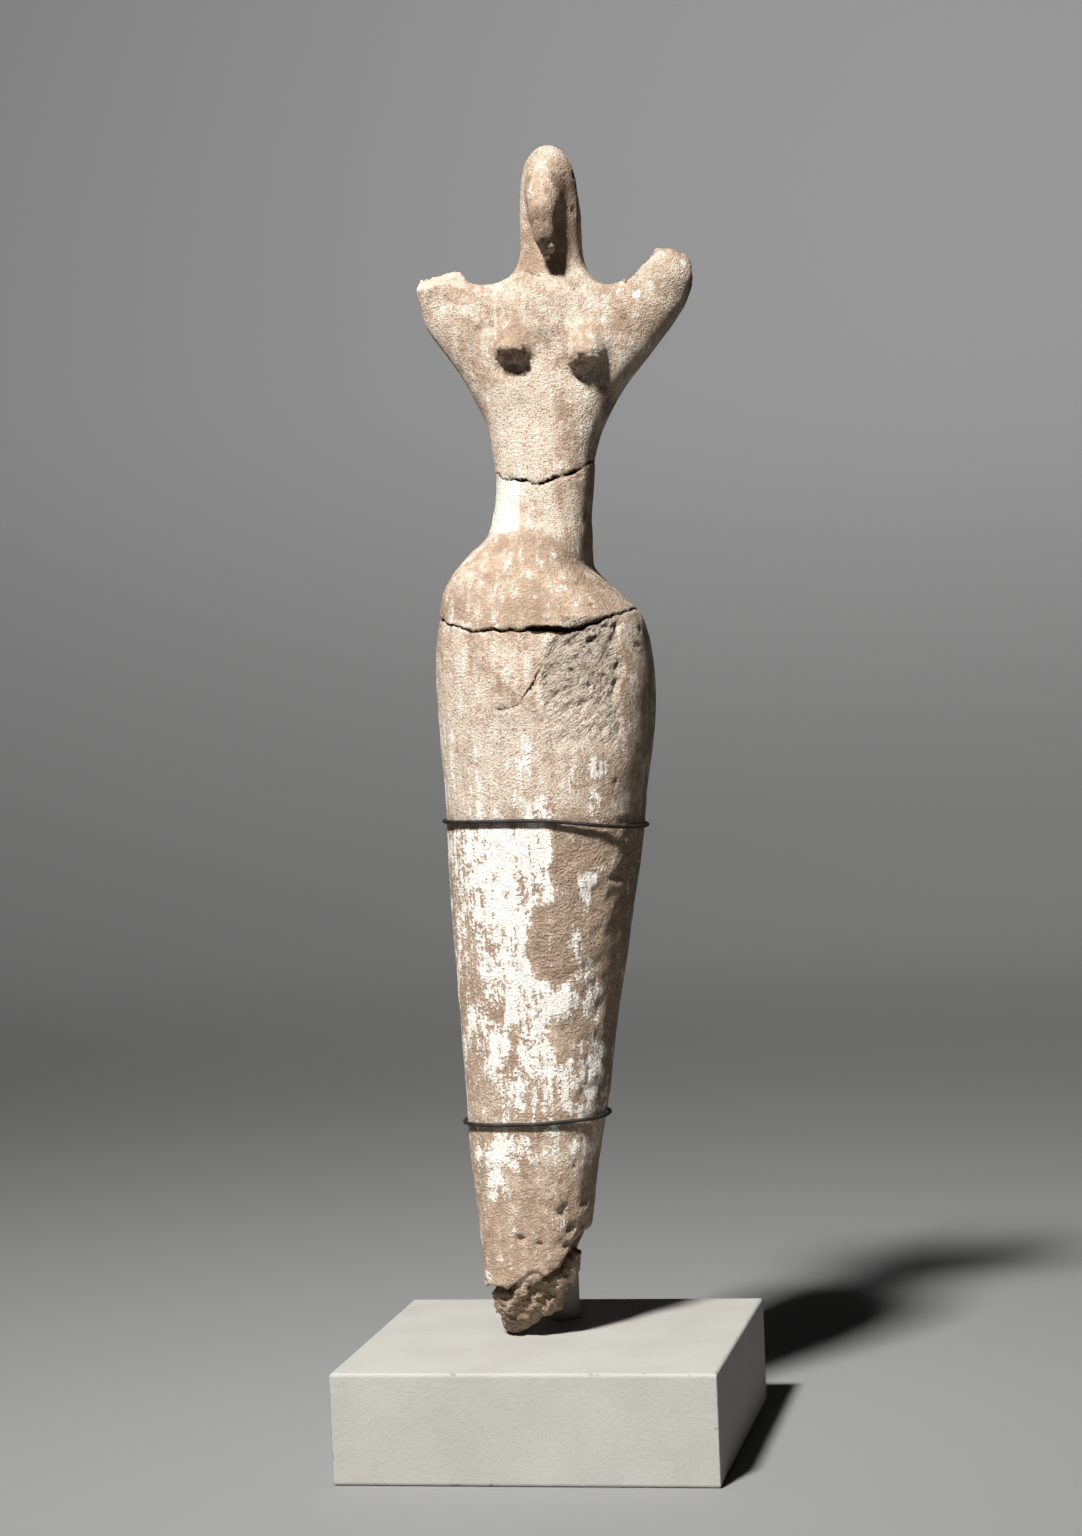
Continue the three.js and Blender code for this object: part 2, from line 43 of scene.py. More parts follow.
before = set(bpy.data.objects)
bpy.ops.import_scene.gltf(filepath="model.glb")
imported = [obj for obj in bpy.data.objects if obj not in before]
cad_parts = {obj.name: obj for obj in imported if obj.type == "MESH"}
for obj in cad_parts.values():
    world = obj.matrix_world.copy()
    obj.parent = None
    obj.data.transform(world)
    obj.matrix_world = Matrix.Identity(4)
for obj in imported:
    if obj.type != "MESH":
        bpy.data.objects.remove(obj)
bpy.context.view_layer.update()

import math

import bpy
import numpy as np
from mathutils import Matrix, Vector

MM = 0.001
BLOCK_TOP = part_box("mount_block")[1].z
FOOT_GAP = 0.3 * MM
FIGURE_FOOT = BLOCK_TOP + FOOT_GAP

# Form of the figurine in shares of its height: height, left edge, right edge, front, back
BODY_SECTIONS = np.array([
    [0.0419, -0.0575, 0.0221, -0.0361, 0.0387],
    [0.0968, -0.0607, 0.0357, -0.0406, 0.0419],
    [0.1516, -0.0652, 0.0440, -0.0458, 0.0442],
    [0.2065, -0.0665, 0.0547, -0.0503, 0.0461],
    [0.2597, -0.0685, 0.0624, -0.0552, 0.0487],
    [0.3129, -0.0706, 0.0724, -0.0603, 0.0510],
    [0.3677, -0.0724, 0.0821, -0.0655, 0.0535],
    [0.4145, -0.0726, 0.0906, -0.0694, 0.0555],
    [0.4548, -0.0727, 0.0951, -0.0723, 0.0568],
    [0.5016, -0.0748, 0.1027, -0.0742, 0.0640],
    [0.5484, -0.0766, 0.1051, -0.0758, 0.0855],
    [0.5806, -0.0756, 0.1014, -0.0742, 0.0961],
    [0.6032, -0.0723, 0.0947, -0.0710, 0.0994],
    [0.6177, -0.0705, 0.0821, -0.0677, 0.0981],
    [0.6306, -0.0662, 0.0689, -0.0639, 0.0929],
    [0.6442, -0.0577, 0.0574, -0.0587, 0.0813],
    [0.6581, -0.0446, 0.0570, -0.0523, 0.0658],
    [0.6710, -0.0301, 0.0578, -0.0458, 0.0523],
    [0.6855, -0.0247, 0.0576, -0.0403, 0.0419],
    [0.7161, -0.0200, 0.0610, -0.0361, 0.0348],
    [0.7403, -0.0222, 0.0640, -0.0342, 0.0329],
    [0.7661, -0.0269, 0.0744, -0.0323, 0.0310],
    [0.7935, -0.0388, 0.0915, -0.0316, 0.0297],
    [0.8210, -0.0541, 0.1149, -0.0306, 0.0290],
    [0.8484, -0.0735, 0.1361, -0.0290, 0.0277],
    [0.8694, -0.0780, 0.1465, -0.0271, 0.0265],
    [0.8935, -0.0805, 0.1520, -0.0258, 0.0258],
])
BODY_SQUARENESS = 2.45
SHOULDER_TOP, SHOULDER_SLOPE, SHOULDER_ROUNDING = 0.8782, -0.07, 0.017
STUMPS = [
    ((-0.0260, 0, 0.8340), (-0.0607, 0, 0.8860), 0.0213),
    ((0.0820, 0, 0.8330), (0.1283, 0, 0.8825), 0.0236),
]
STUMP_FLATNESS, STUMP_BLEND = 1.16, 0.014
NECK_LOW, NECK_HIGH = (0.0320, 0.0020, 0.8550), (0.0346, 0.0000, 0.9560)
NECK_HALF_WIDTH, NECK_HALF_DEPTH, NECK_SQUARENESS = 0.0252, 0.0235, 2.7
NECK_TOP_ROUNDING, NECK_BLEND = 0.026, 0.036
CROWN, CROWN_HALF = (0.0342, -0.0040, 0.9560), (0.0236, 0.0250, 0.0396)
BEAK = [
    (0.0346, -0.0090, 0.9685, 0.0218),
    (0.0344, -0.0270, 0.9510, 0.0185),
    (0.0340, -0.0385, 0.9345, 0.0142),
    (0.0356, -0.0425, 0.9180, 0.0108),
    (0.0386, -0.0420, 0.9030, 0.0078),
]
BEAK_BLEND, BEAK_NARROWNESS = 0.008, 1.25
BEAK_BREAK = (0.0386, -0.0465, 0.9058, 0, -0.687, -0.726)
BREASTS = [
    ((0.0026, -0.0230, 0.8310, 0.0165), (0.0026, -0.0375, 0.8230, 0.0125), (0, -0.0495, 0.8240, 0, -0.45, -0.893)),
    ((0.0650, -0.0230, 0.8275, 0.0185), (0.0650, -0.0370, 0.8170, 0.0140), (0, -0.0505, 0.8158, 0, -0.45, -0.893)),
]
BREAST_BLEND = 0.011
CORES = [
    [(-0.0190, 0, 0.0560, 0.0355), (-0.0250, 0, 0.0330, 0.0265), (-0.0335, 0, 0.0130, 0.0128)],
    [(0.0010, 0, 0.0600, 0.0240), (-0.0061, 0, 0.0371, 0.0200), (-0.0265, 0, 0.0168, 0.0126)],
]
CORE_STEP, BREAK_ROUGHNESS = 0.0085, 0.0042
BREAK_EDGE = np.array([(-0.0500, 0.0440), (-0.0330, 0.0432), (-0.0240, 0.0530), (0.0000, 0.0572),
                       (0.0130, 0.0620), (0.0200, 0.0730), (0.0290, 0.0850), (0.0420, 0.0950)])
STUMP_BREAKS = [
    (-0.0597, 0, 0.8920, -0.138, -0.366, 0.920),
    (0.1527, 0, 0.8800, 0.966, -0.030, 0.255),
    (0.1103, 0, 0.8900, -0.730, 0, 0.683),
    (0.1325, 0, 0.9031, 0.100, 0, 0.995),
]

# Places on the figurine, x and height in millimetres, seen from the front
WAIST_CRACK = [(-7, 225.2), (-4.1, 224), (-1.7, 222.5), (0.1, 222.7), (3.4, 221.9), (6, 221.3),
               (9.1, 221.7), (12.4, 222.6), (15.3, 224), (17.8, 225.6), (19.6, 227.1)]
HIP_CRACK = [(-23.5, 189), (-21.1, 187.9), (-15.7, 185.5), (-10.1, 184.3), (-4.4, 184.3), (1.4, 183.8),
             (8.9, 184.2), (13.9, 183), (19, 184.3), (23.9, 186.4), (26.8, 187.4), (30, 189.4)]
THIGH_CRACK = [(13.5, 182), (9.6, 179.2), (8.5, 176.4), (7.4, 173.9), (5.2, 170), (3, 167.3),
               (1.6, 165.3), (-1.3, 164.1), (-5.6, 164.5)]
NECK_CRACK = [(4.3, 276.5), (6.5, 275.5), (8.7, 274.5)]
PAINT_EDGE = [(59, 9.5), (69, 13), (75, 13.5), (82, 8), (89, 11), (95, 8), (105, 6.5), (114, 8.6),
              (121, 8.3), (126, 8.6), (134, 8.2), (136, 5)]
DEEP_PITS = [(-5.7, 27.0, 1.4), (-0.8, 25.6, 1.2), (4.7, 33.3, 1.3), (7.4, 28.9, 1.5), (7.5, 301.2, 0.7),
             (16.0, 236.0, 0.7), (16.8, 195.1, 1.0), (23.9, 196.7, 1.1), (26.1, 194.4, 1.0), (20.4, 189.5, 0.8),
             (-12.0, 180.7, 0.7), (-3.2, 174.3, 0.8), (30.3, 179.0, 0.6), (4.1, 199.8, 0.6)]
BETWEEN_JOINTS = 205
WIRE_HEIGHTS = (134.5, 57.2)
PATCH_SIDE = [(153, 8.5), (164, 8.5), (170, 7.0), (176, 9.5), (183, 12.5)]

# Ovals on the front: x and height of the middle, half width and half height, then an amount where it has one
SCAR = (23.4, 119.5, 1.9, 1.1)
# BROKEN_TIPS: beak tip and breast undersides, darkened by their amount partly as dirt and partly as painted shade
BROKEN_TIPS = [(12.0, 280.0, 2.3, 2.8, 0.50), (1.1, 252.6, 5.6, 4.2, 0.50), (20.9, 250.3, 6.8, 4.4, 0.48)]
PAINT_PATCHES = [
    (16.6, 119.6, 2.6, 2.2, 0.9), (16.0, 116.4, 1.6, 2.6, 0.85), (8.5, 88, 4.6, 6.5, 0.68),
    (14.0, 71, 4.2, 8, 0.62), (15.5, 90, 3.2, 9, 0.48), (13.0, 104, 1.6, 6, 0.42),
    (20.5, 148, 3.2, 3.2, 0.66), (15.5, 146, 3.0, 4, 0.42), (5.5, 138, 3.6, 5.0, 0.60),
    (19.5, 138, 1.6, 5, 0.48), (10, 60, 5, 3, 0.45), (18, 64, 3, 8, 0.42),
    (-7.5, 50, 8.0, 5.5, 0.62), (-11.5, 41, 2.6, 6, 0.60), (3.5, 56, 6, 3, 0.46),
    (-15, 50, 3, 9, 0.42), (8, 50, 6, 8, 0.25),
]
PAINT_LOSSES = [(7.8, 78.2, 2.8, 5.0, 0.65), (-13.8, 65, 3.6, 6, 0.35), (-5.6, 94.8, 1.8, 3, 0.4),
                (-4.5, 79.8, 2, 3, 0.4)]
DAB = (33.2, 268.8)
LONG_STROKE = [(-20, 268.6), (-13, 267.4), (-7.5, 265.6)]
SHORT_STROKE = [(24.5, 268.4), (30, 270.0)]
NO_PAINT = -0.35

# Rounds of thicker or thinner film: x, height, radius, change
FILM_PATCHES = [(18, 266, 6, 0.1), (0, 229, 12, 0.6), (4, 246, 8, 0.1), (1, 258, 6, -0.35), (20, 256, 6, -0.2),
                (7, 283, 9, -0.3), (16, 300, 7, -0.3), (-22, 262, 7, 0.15), (33, 262, 9, -0.15),
                (11, 214, 9, 0.40), (4, 197, 13, -0.12), (11, 288, 6, -0.30)]

# Turns points so that noise made from them lies in long grains that run up to the right
SLANT = np.array([[0.33, 0, -0.57], [0, 1, 0], [0.23, 0, 0.82]])

# Grid of the figurine's surface across, in depth and in height: start and end in shares of its height, and the
# length of the cells there
GRID = (
    [(-0.0900, 0.1620, 1)],
    [(-0.0860, 0.1080, 1)],
    [(-0.0040, 0.0900, 0.8), (0.0900, 0.5150, 1.5), (0.5150, 0.5840, 0.8), (0.5840, 0.6200, 0.45),
     (0.6200, 0.7080, 1.3), (0.7080, 0.7440, 0.45), (0.7440, 0.8000, 1.2), (0.8000, 1.0080, 1)],
)

# Tie wires: the height that the loop is shaped at as a share of the figurine's, and the heights that it runs
# through, given by x
WIRE_RUNS = {
    "upper_wire": (0.4323, [(-26, 135.3), (-16, 135.5), (-2, 135.6), (7, 135.4), (15, 134.4), (24, 133.0),
                            (31, 132.2)]),
    "lower_wire": (0.1839, [(-23, 56.6), (-10, 57.0), (2, 57.2), (9, 57.6), (17, 57.7)]),
}
LOOP_ANGLES, LOOP_POINTS = 240, 260
TWIST_TURNS, TWIST_LENGTH, TWIST_START = 2.6, 5.6, 0.5

# The two lights: side in metres, spread in degrees, place and the place each shines at
KEY_LIGHT = (0.22, 50, (-0.335, -1.198, 1.62), (0.0, 0.0, 0.08))
BACK_LIGHT = (1.2, 96, (0.0, 1.3, 2.6), (0.0, 2.5, 0.5))

# Round studio floor that curves up into its wall, in metres
WALL_FOOT, WALL_CURVE, WALL_TOP, WALL_SIDES = 1.35, 1.5, (2.86, 3.6), 96

# The photograph's viewpoint, fitted to the corners of the block: turns in radians, place from the block's top
VIEW_TURN, VIEW_TIP, VIEW_LEAN = 0.187, 0.0308, -0.0399
VIEW_PLACE = (0.161613, -0.842433, 0.174815)
VIEW_FOCAL, VIEW_FRAME, SENSOR = 3293.5, 1536, 36.0


# ---- Shape of the figurine

def section_at(height):
    """Left, right, front and back of the body at each height, on a smooth curve through the rows."""
    rows = BODY_SECTIONS
    last = len(rows) - 1
    h = np.clip(height, rows[0, 0], rows[last, 0])
    i = np.clip(np.searchsorted(rows[:, 0], h, side="left") - 1, 0, last - 1)
    a, b, c, d = rows[np.maximum(i - 1, 0)], rows[i], rows[i + 1], rows[np.minimum(i + 2, last)]
    span = c[..., 0] - b[..., 0]
    t = (h - b[..., 0]) / span
    t2, t3 = t * t, t * t * t
    out = []
    for k in range(1, 5):
        slope_b = (c[..., k] - a[..., k]) / (c[..., 0] - a[..., 0]) * span
        slope_c = (d[..., k] - b[..., k]) / (d[..., 0] - b[..., 0]) * span
        out.append((2 * t3 - 3 * t2 + 1) * b[..., k] + (t3 - 2 * t2 + t) * slope_b
                   + (-2 * t3 + 3 * t2) * c[..., k] + (t3 - t2) * slope_c)
    return out


def smooth_min(a, b, k):
    """The smaller value, with the corner between the two rounded over a width."""
    h = np.maximum(k - np.abs(a - b), 0) / k
    return np.minimum(a, b) - h * h * k * 0.25


def column_distance(dx, dy, half_x, half_y, power):
    """Distance to an upright column whose section is an oval, squarer with a higher power."""
    reach = np.hypot(dx, dy)
    ratio = (np.abs(dx / half_x) ** power + np.abs(dy / half_y) ** power) ** (1 / power)
    return np.where(ratio < 1e-6, -np.minimum(half_x, half_y), reach * (1 - 1 / np.maximum(ratio, 1e-6)))


def taper_distance(x, y, z, a, b, flatness=1.0):
    """Distance to a tapered rod with round ends, each end given as x, y, z, radius."""
    px, py, pz = x - a[0], (y - a[1]) * flatness, z - a[2]
    qx, qy, qz = b[0] - a[0], (b[1] - a[1]) * flatness, b[2] - a[2]
    t = np.clip((px * qx + py * qy + pz * qz) / (qx * qx + qy * qy + qz * qz), 0, 1)
    return np.sqrt((px - qx * t) ** 2 + (py - qy * t) ** 2 + (pz - qz * t) ** 2) - (a[3] + (b[3] - a[3]) * t)


def cut_distance(x, y, z, cut):
    """How far in front of a flat cut, given as a point and the way it faces."""
    return (x - cut[0]) * cut[3] + (y - cut[1]) * cut[4] + (z - cut[2]) * cut[5]


def lumps(x, y, z):
    """Slow lumps of broken clay, the same as in the solids."""
    coarse = np.sin(x * 265 + 1.3) * np.sin(y * 240 + 0.4) + np.sin((z - x) * 215 + 2.1)
    return 0.42 * coarse + 0.22 * np.sin((x + y) * 520 + 0.7) * np.sin((y - z) * 560 + 1.9)


def figure_body(x, y, z):
    """Signed distance to the figurine before its foot broke, all in shares of its height."""
    left, right, front, back = section_at(z)
    side = column_distance(x - (left + right) / 2, y, (right - left) / 2, np.where(y < 0, -front, back),
                           BODY_SQUARENESS)
    top = z - SHOULDER_TOP - SHOULDER_SLOPE * (x - 0.034)
    r = SHOULDER_ROUNDING
    d = np.minimum(np.maximum(side + r, top + r), 0) - r + np.hypot(np.maximum(side + r, 0), np.maximum(top + r, 0))
    for inner, outer, radius in STUMPS:
        d = smooth_min(d, taper_distance(x, y, z, (*inner, radius), (*outer, radius), STUMP_FLATNESS), STUMP_BLEND)

    t = np.clip((z - NECK_LOW[2]) / (NECK_HIGH[2] - NECK_LOW[2]), 0, 1)
    neck_x = NECK_LOW[0] + (NECK_HIGH[0] - NECK_LOW[0]) * t
    neck_y = NECK_LOW[1] + (NECK_HIGH[1] - NECK_LOW[1]) * t
    shaft = column_distance(x - neck_x, y - neck_y, NECK_HALF_WIDTH, NECK_HALF_DEPTH, NECK_SQUARENESS)
    neck = np.maximum(-smooth_min(-shaft, NECK_HIGH[2] - z, NECK_TOP_ROUNDING), NECK_LOW[2] - z)
    crown = (np.sqrt(sum(((p - c) / h) ** 2 for p, c, h in zip((x, y, z), CROWN, CROWN_HALF))) - 1) * CROWN_HALF[0]
    beak = 1.0
    k = BEAK_NARROWNESS
    for a, b in zip(BEAK, BEAK[1:]):
        piece = taper_distance(x * k, y, z, (a[0] * k, *a[1:]), (b[0] * k, *b[1:]))
        beak = smooth_min(beak, piece, BEAK_BLEND * 0.4)
    beak = -smooth_min(-beak, -cut_distance(x, y, z, BEAK_BREAK), BEAK_BLEND * 0.3)
    head = smooth_min(smooth_min(neck, crown, BEAK_BLEND), beak, BEAK_BLEND)
    d = smooth_min(d, head, NECK_BLEND)
    for root, tip, under in BREASTS:
        knob = -smooth_min(-taper_distance(x, y, z, root, tip), -cut_distance(x, y, z, under), BREAST_BLEND * 0.3)
        d = smooth_min(d, knob, BREAST_BLEND)

    rough = lumps(x, y, z)
    for face in STUMP_BREAKS:
        off_stump = -0.030 - x if face[0] < 0 else x - 0.096
        d = np.maximum(d, np.minimum(cut_distance(x, y, z, face) + BREAK_ROUGHNESS * 0.5 * rough, off_stump))

    return d


def figure_field(x, y, z):
    """Signed distance to the figurine, all in shares of its height."""
    d = figure_body(x, y, z)
    edge = np.interp(x, *BREAK_EDGE.T)
    shell = -smooth_min(-d, -(edge - z + BREAK_ROUGHNESS * lumps(x, y, z * 0.3)), 0.0025)
    core = 1.0
    for lobe in CORES:
        for a, b in zip(lobe, lobe[1:]):
            core = smooth_min(core, taper_distance(x, y, z, a, b), 0.003)
    core = core + BREAK_ROUGHNESS * 0.45 * lumps(x + 0.05, y, z) * np.clip((z - 0.004) / 0.02, 0, 1)
    inner = np.maximum(d + CORE_STEP, CORES[0][0][2] - z)
    return smooth_min(shell, smooth_min(np.maximum(core, z - 0.080), inner, 0.008), 0.003)


def dice(cell, seed, count):
    """Columns of numbers from 0 to 1 for whole-numbered cells, the same on every run."""
    h = (cell[:, 0] * 73856093) ^ (cell[:, 1] * 19349663) ^ (cell[:, 2] * 83492791) ^ (seed * 2654435761)
    out = []
    for _ in range(count):
        h = (h ^ (h >> 15)) * 2246822519 & 0xFFFFFFFF
        h = (h ^ (h >> 13)) * 3266489917 & 0xFFFFFFFF
        out.append((h >> 8 & 0xFFFF) / 65535)
    return np.stack(out, 1)


def value_noise(p, size, seed):
    """Smooth noise from -1 to 1 with lumps of about a size."""
    q = p / size
    cell = np.floor(q).astype(np.int64)
    f = q - cell
    u = f * f * (3 - 2 * f)
    out = np.zeros(len(p))
    for corner in range(8):
        step = np.array([corner & 1, (corner >> 1) & 1, corner >> 2])
        out += (dice(cell + step, seed, 1)[:, 0] * 2 - 1) * np.prod(np.where(step, u, 1 - u), axis=1)
    return out


def layered_noise(p, size, layers, seed):
    """Smooth noise with finer layers on it, each half as large and half as strong."""
    total, weight = 0, 1
    for i in range(layers):
        total = total + weight * value_noise(p, size / 2 ** i, seed + i)
        weight *= 0.5
    return total / (2 - 2 ** (1 - layers))


def near_cells(p, spacing):
    """The cell of each point and its 26 neighbours, one at a time."""
    cell = np.floor(p / spacing).astype(np.int64)
    for n in range(27):
        yield cell + np.array([n % 3 - 1, n // 3 % 3 - 1, n // 9 - 1])


def scattered_pits(p, spacing, radius, depth, seed, share):
    """Round pits, one at most in each cube of a grid, and only in a share of the cubes."""
    deepest = np.zeros(len(p))
    for c in near_cells(p, spacing):
        place = dice(c, seed, 4)
        size = radius * (0.5 + place[:, 0])
        far = np.linalg.norm((c + 0.15 + 0.7 * place[:, :3]) * spacing - p, axis=1) / size
        deepest = np.maximum(deepest, (place[:, 3] < share) * size / radius * np.clip(1 - far * far, 0, 1))
    return depth * deepest


def broken_facets(p, size, seed):
    """Flat tilted facets with small steps between them, as on broken clay, from about -1 to 1."""
    nearest, level = np.full(len(p), 1e9), np.zeros(len(p))
    for c in near_cells(p, size):
        place = dice(c, seed, 7)
        away = p / size - (c + 0.1 + 0.8 * place[:, :3])
        far = (away ** 2).sum(1)
        here = (away * (place[:, 3:6] * 2 - 1)).sum(1) * 1.5 + (place[:, 6] - 0.5) * 0.9
        level = np.where(far < nearest, here, level)
        nearest = np.minimum(nearest, far)
    return level


def ease(value, low, high):
    """Rises smoothly from 0 at low to 1 at high."""
    t = np.clip((value - low) / (high - low), 0, 1)
    return t * t * (3 - 2 * t)


def distance_to_line(x, z, points):
    """Distance on the front to a bent line through places given as x and height."""
    best = np.full(len(x), 1e9)
    for (ax, az), (bx, bz) in zip(points, points[1:]):
        dx, dz = bx - ax, bz - az
        t = np.clip(((x - ax) * dx + (z - az) * dz) / (dx * dx + dz * dz), 0, 1)
        best = np.minimum(best, np.hypot(x - ax - dx * t, z - az - dz * t))
    return best


def grid_lines(stretches):
    """Places of grid lines along one axis, from stretches given as start, end and cell length."""
    lines = [stretches[0][0]]
    for start, end, step in stretches:
        count = max(1, round((end - start) / step))
        lines += [start + (end - start) * (i + 1) / count for i in range(count)]
    return np.array(lines)


def surface_of(field, xs, ys, zs):
    """A closed quad mesh of a field's zero surface: one vertex in each grid cell that it crosses."""
    values = np.empty((len(xs), len(ys), len(zs)))
    for k, z in enumerate(zs):
        values[:, :, k] = field(xs[:, None], ys[None, :], np.full((1, 1), z))
    values[values == 0] = 1e-9
    inside = values < 0
    cells = np.array(values.shape) - 1
    count = np.zeros(cells.prod())
    sums = np.zeros((3, cells.prod()))
    lines = (xs, ys, zs)
    crossings = []
    for axis in range(3):
        low = [slice(None)] * 3
        high = [slice(None)] * 3
        low[axis], high[axis] = slice(None, -1), slice(1, None)
        low, high = tuple(low), tuple(high)
        at = np.argwhere(inside[low] != inside[high])
        a, b = values[low][tuple(at.T)], values[high][tuple(at.T)]
        point = [lines[n][at[:, n]] for n in range(3)]
        point[axis] = point[axis] + a / (a - b) * (lines[axis][at[:, axis] + 1] - point[axis])
        u, v = (axis + 1) % 3, (axis + 2) % 3
        ring = []
        for du, dv in ((-1, -1), (0, -1), (0, 0), (-1, 0)):
            c = at.copy()
            c[:, u] += du
            c[:, v] += dv
            flat = (c[:, 0] * cells[1] + c[:, 1]) * cells[2] + c[:, 2]
            ring.append(flat)
            count += np.bincount(flat, minlength=len(count))
            for n in range(3):
                sums[n] += np.bincount(flat, weights=point[n], minlength=len(count))
        crossings.append((np.stack(ring, 1), a < 0))
    used = np.flatnonzero(count)
    number = np.full(len(count), -1)
    number[used] = np.arange(len(used))
    p = (sums[:, used] / count[used]).T
    quads = []
    for ring, leaves in crossings:
        q = number[ring]
        q[~leaves] = q[~leaves][:, ::-1]
        quads.append(q)
    quads = np.concatenate(quads)
    h = 1e-4
    for _ in range(3):
        f = field(*p.T)
        g = np.stack([(field(*(p + h * np.eye(3)[n]).T) - f) / h for n in range(3)], 1)
        move = (f / np.maximum((g * g).sum(1), 0.25))[:, None] * g
        p -= np.clip(move, -0.0015, 0.0015)
    return p, quads


def normals_of(points, quads):
    """The way that the surface faces at each point."""
    across = points[quads[:, 2]] - points[quads[:, 0]]
    along = points[quads[:, 3]] - points[quads[:, 1]]
    face = np.cross(across, along)
    out = np.zeros_like(points)
    for n in range(4):
        np.add.at(out, quads[:, n], face)
    return out / np.maximum(np.linalg.norm(out, axis=1, keepdims=True), 1e-12)


# ---- Wear, finish and painted shade of the figurine: places in millimetres, x and height seen from the front

class WornClay:
    """The figurine's surface: its points, how deep each is worn, and where its finishes lie."""

    def __init__(self, look):
        self.look = look
        self.tall = look.height / MM
        step = look.cell / look.height
        lines = [grid_lines([(start, end, step * cells) for start, end, cells in stretches]) for stretches in GRID]
        points, self.quads = surface_of(figure_field, *lines)
        self.p = points * self.tall
        self.facing = normals_of(self.p, self.quads)
        self.x, self.y, self.z = self.p.T
        self.front = ease(-self.y, -2.0, 3.0)
        self.back = ease(self.y, 2.0, 8.0)
        self.drop = np.zeros(len(self.p))
        self.stain_and_shade = np.zeros(len(self.p))
        self.fresh = np.zeros(len(self.p))

    def oval(self, x, z, half_width, half_height):
        """Distance from a place on the front, which is 1 on an oval of the given size."""
        return np.hypot((self.x - x) / half_width, (self.z - z) / half_height)

    # Darkens the clay: used for stains and dirt, and for painted shade
    def darken(self, amount):
        self.stain_and_shade = np.maximum(self.stain_and_shade, amount)

    def smooth_by_hand(self):
        """Slow waves, dents of the fingers and scattered pits."""
        p, depth = self.p, self.look.pit_depth / MM
        self.drop -= 0.22 * layered_noise(p, 17, 2, 3) + 0.14 * layered_noise(p, 4.5, 3, 11)
        self.drop += scattered_pits(p, 6.5, 0.95, depth, 5, 0.40)
        self.drop += scattered_pits(p, 15, 1.4, depth * 1.3, 9, 0.35)
        uneven = 0.4 * value_noise(p, 1.5, 21)
        for x, z, size in DEEP_PITS:
            far = np.hypot(self.x - x, self.z - z + uneven) / size
            self.drop += self.front * 0.9 * size * np.clip(1 - far * far, 0, 1)

    def open_joints(self):
        """Open joints of the mends right round waist and hips, widest at the right of the hips."""
        p, x, y, z, front = self.p, self.x, self.y, self.z, self.front
        self.jag = 0.75 * layered_noise(p, 2.5, 3, 31)
        chips = 0.75 + 0.55 * value_noise(p, 5, 41) + 0.7 * np.maximum(value_noise(p, 1.9, 45), 0.2)
        crumbled = ease(value_noise(p, 2.4, 43), -0.1, 0.6)
        at_waist = 0.4 + 1.2 * ease(value_noise(p, 1.8, 46), -0.25, 0.3)
        at_hips = 1 + 3.8 * ease(x, 2, 10) * ease(-x, -25, -18) * front
        offs, widths = [], []
        for line, tilt, chipped, stray in (
                (WAIST_CRACK, 0.05, 0.6 * chips * at_waist, 0.38 * value_noise(p, 1.5, 48)),
                (HIP_CRACK, 0.04, 0.8 * chips * at_hips, 0)):
            off = z - np.interp(x, *np.array(line).T) - tilt * np.maximum(y, 0) + self.jag + stray
            width = self.look.crack_width / MM * np.clip(chipped, 0.15, 5)
            cut = np.clip(1 - (off / (width + 0.2)) ** 2, 0, 1)
            self.drop += self.look.crack_depth / MM * np.minimum(chipped, 1.5) * cut
            self.drop += 0.30 * np.exp(-(off / 1.2) ** 2) * crumbled
            offs.append(off)
            widths.append(width)
        self.joint = np.maximum(offs[0], -offs[1])
        self.opening = np.where(z > BETWEEN_JOINTS, *widths)

    def lift_flake(self):
        """The open edge round the loose flake on the thigh, and the hairline crack on the neck."""
        p, x, z, front = self.p, self.x, self.z, self.front
        lx, lz = np.array(THIGH_CRACK[::-1]).T
        slope = np.interp(x, lx[:-1] + np.diff(lx) / 2, np.diff(lz) / np.diff(lx))
        self.flake = (z - np.interp(x, lx, lz) + 0.6 * layered_noise(p, 2.2, 3, 47)) / np.hypot(1, slope)
        off_line = (1 - front) + ease(-x, 3.5, 5.5) + ease(x, 11.5, 13) + ease(-z, -150, -140) + ease(z, 181.5, 184)
        self.loose = np.clip(1 - off_line - 0.7 * ease(z, 172, 175), 0, 1)
        edge = ease(self.flake, -0.8, -0.1) * ease(-self.flake, -0.5, 0.3)
        self.drop += np.clip(1 - off_line, 0, 1) * 0.50 * edge
        line = distance_to_line(x, z + self.jag * 0.4, NECK_CRACK)
        self.hairline = front * ease(-line, -0.45, -0.12)
        self.drop += 0.4 * self.hairline

    def wear_thigh(self):
        """The worn patch on the right thigh: furrows that run up to the right, small pits lower down."""
        p, x, z, front = self.p, self.x, self.z, self.front
        side = np.interp(z, *np.array(PATCH_SIDE).T)
        wave = 1.8 * layered_noise(p, 6, 3, 51)
        patch = ease(x + wave, side - 0.6, side + 1.0) * ease(-x + wave, -27.5, -25.8) * front
        patch *= ease(z + wave, 151.5, 156.5) * ease(-z, -187, -184.2)
        self.slant = p @ SLANT
        furrow = np.abs(layered_noise(self.slant, 2.9, 3, 57))
        small = np.abs(layered_noise(self.slant, 1.5, 2, 59))
        upper = ease(z, 160, 172)
        depth = self.look.erosion / MM * (0.15 + 0.35 * upper) + (0.6 + 1.2 * upper) * (furrow - 0.2)
        self.drop += patch * (depth + 0.9 * (small - 0.2) + scattered_pits(p, 2.3, 0.75, 0.55, 61, 0.6))
        self.patch, self.flaked = patch, patch * (0.35 + 0.65 * upper)

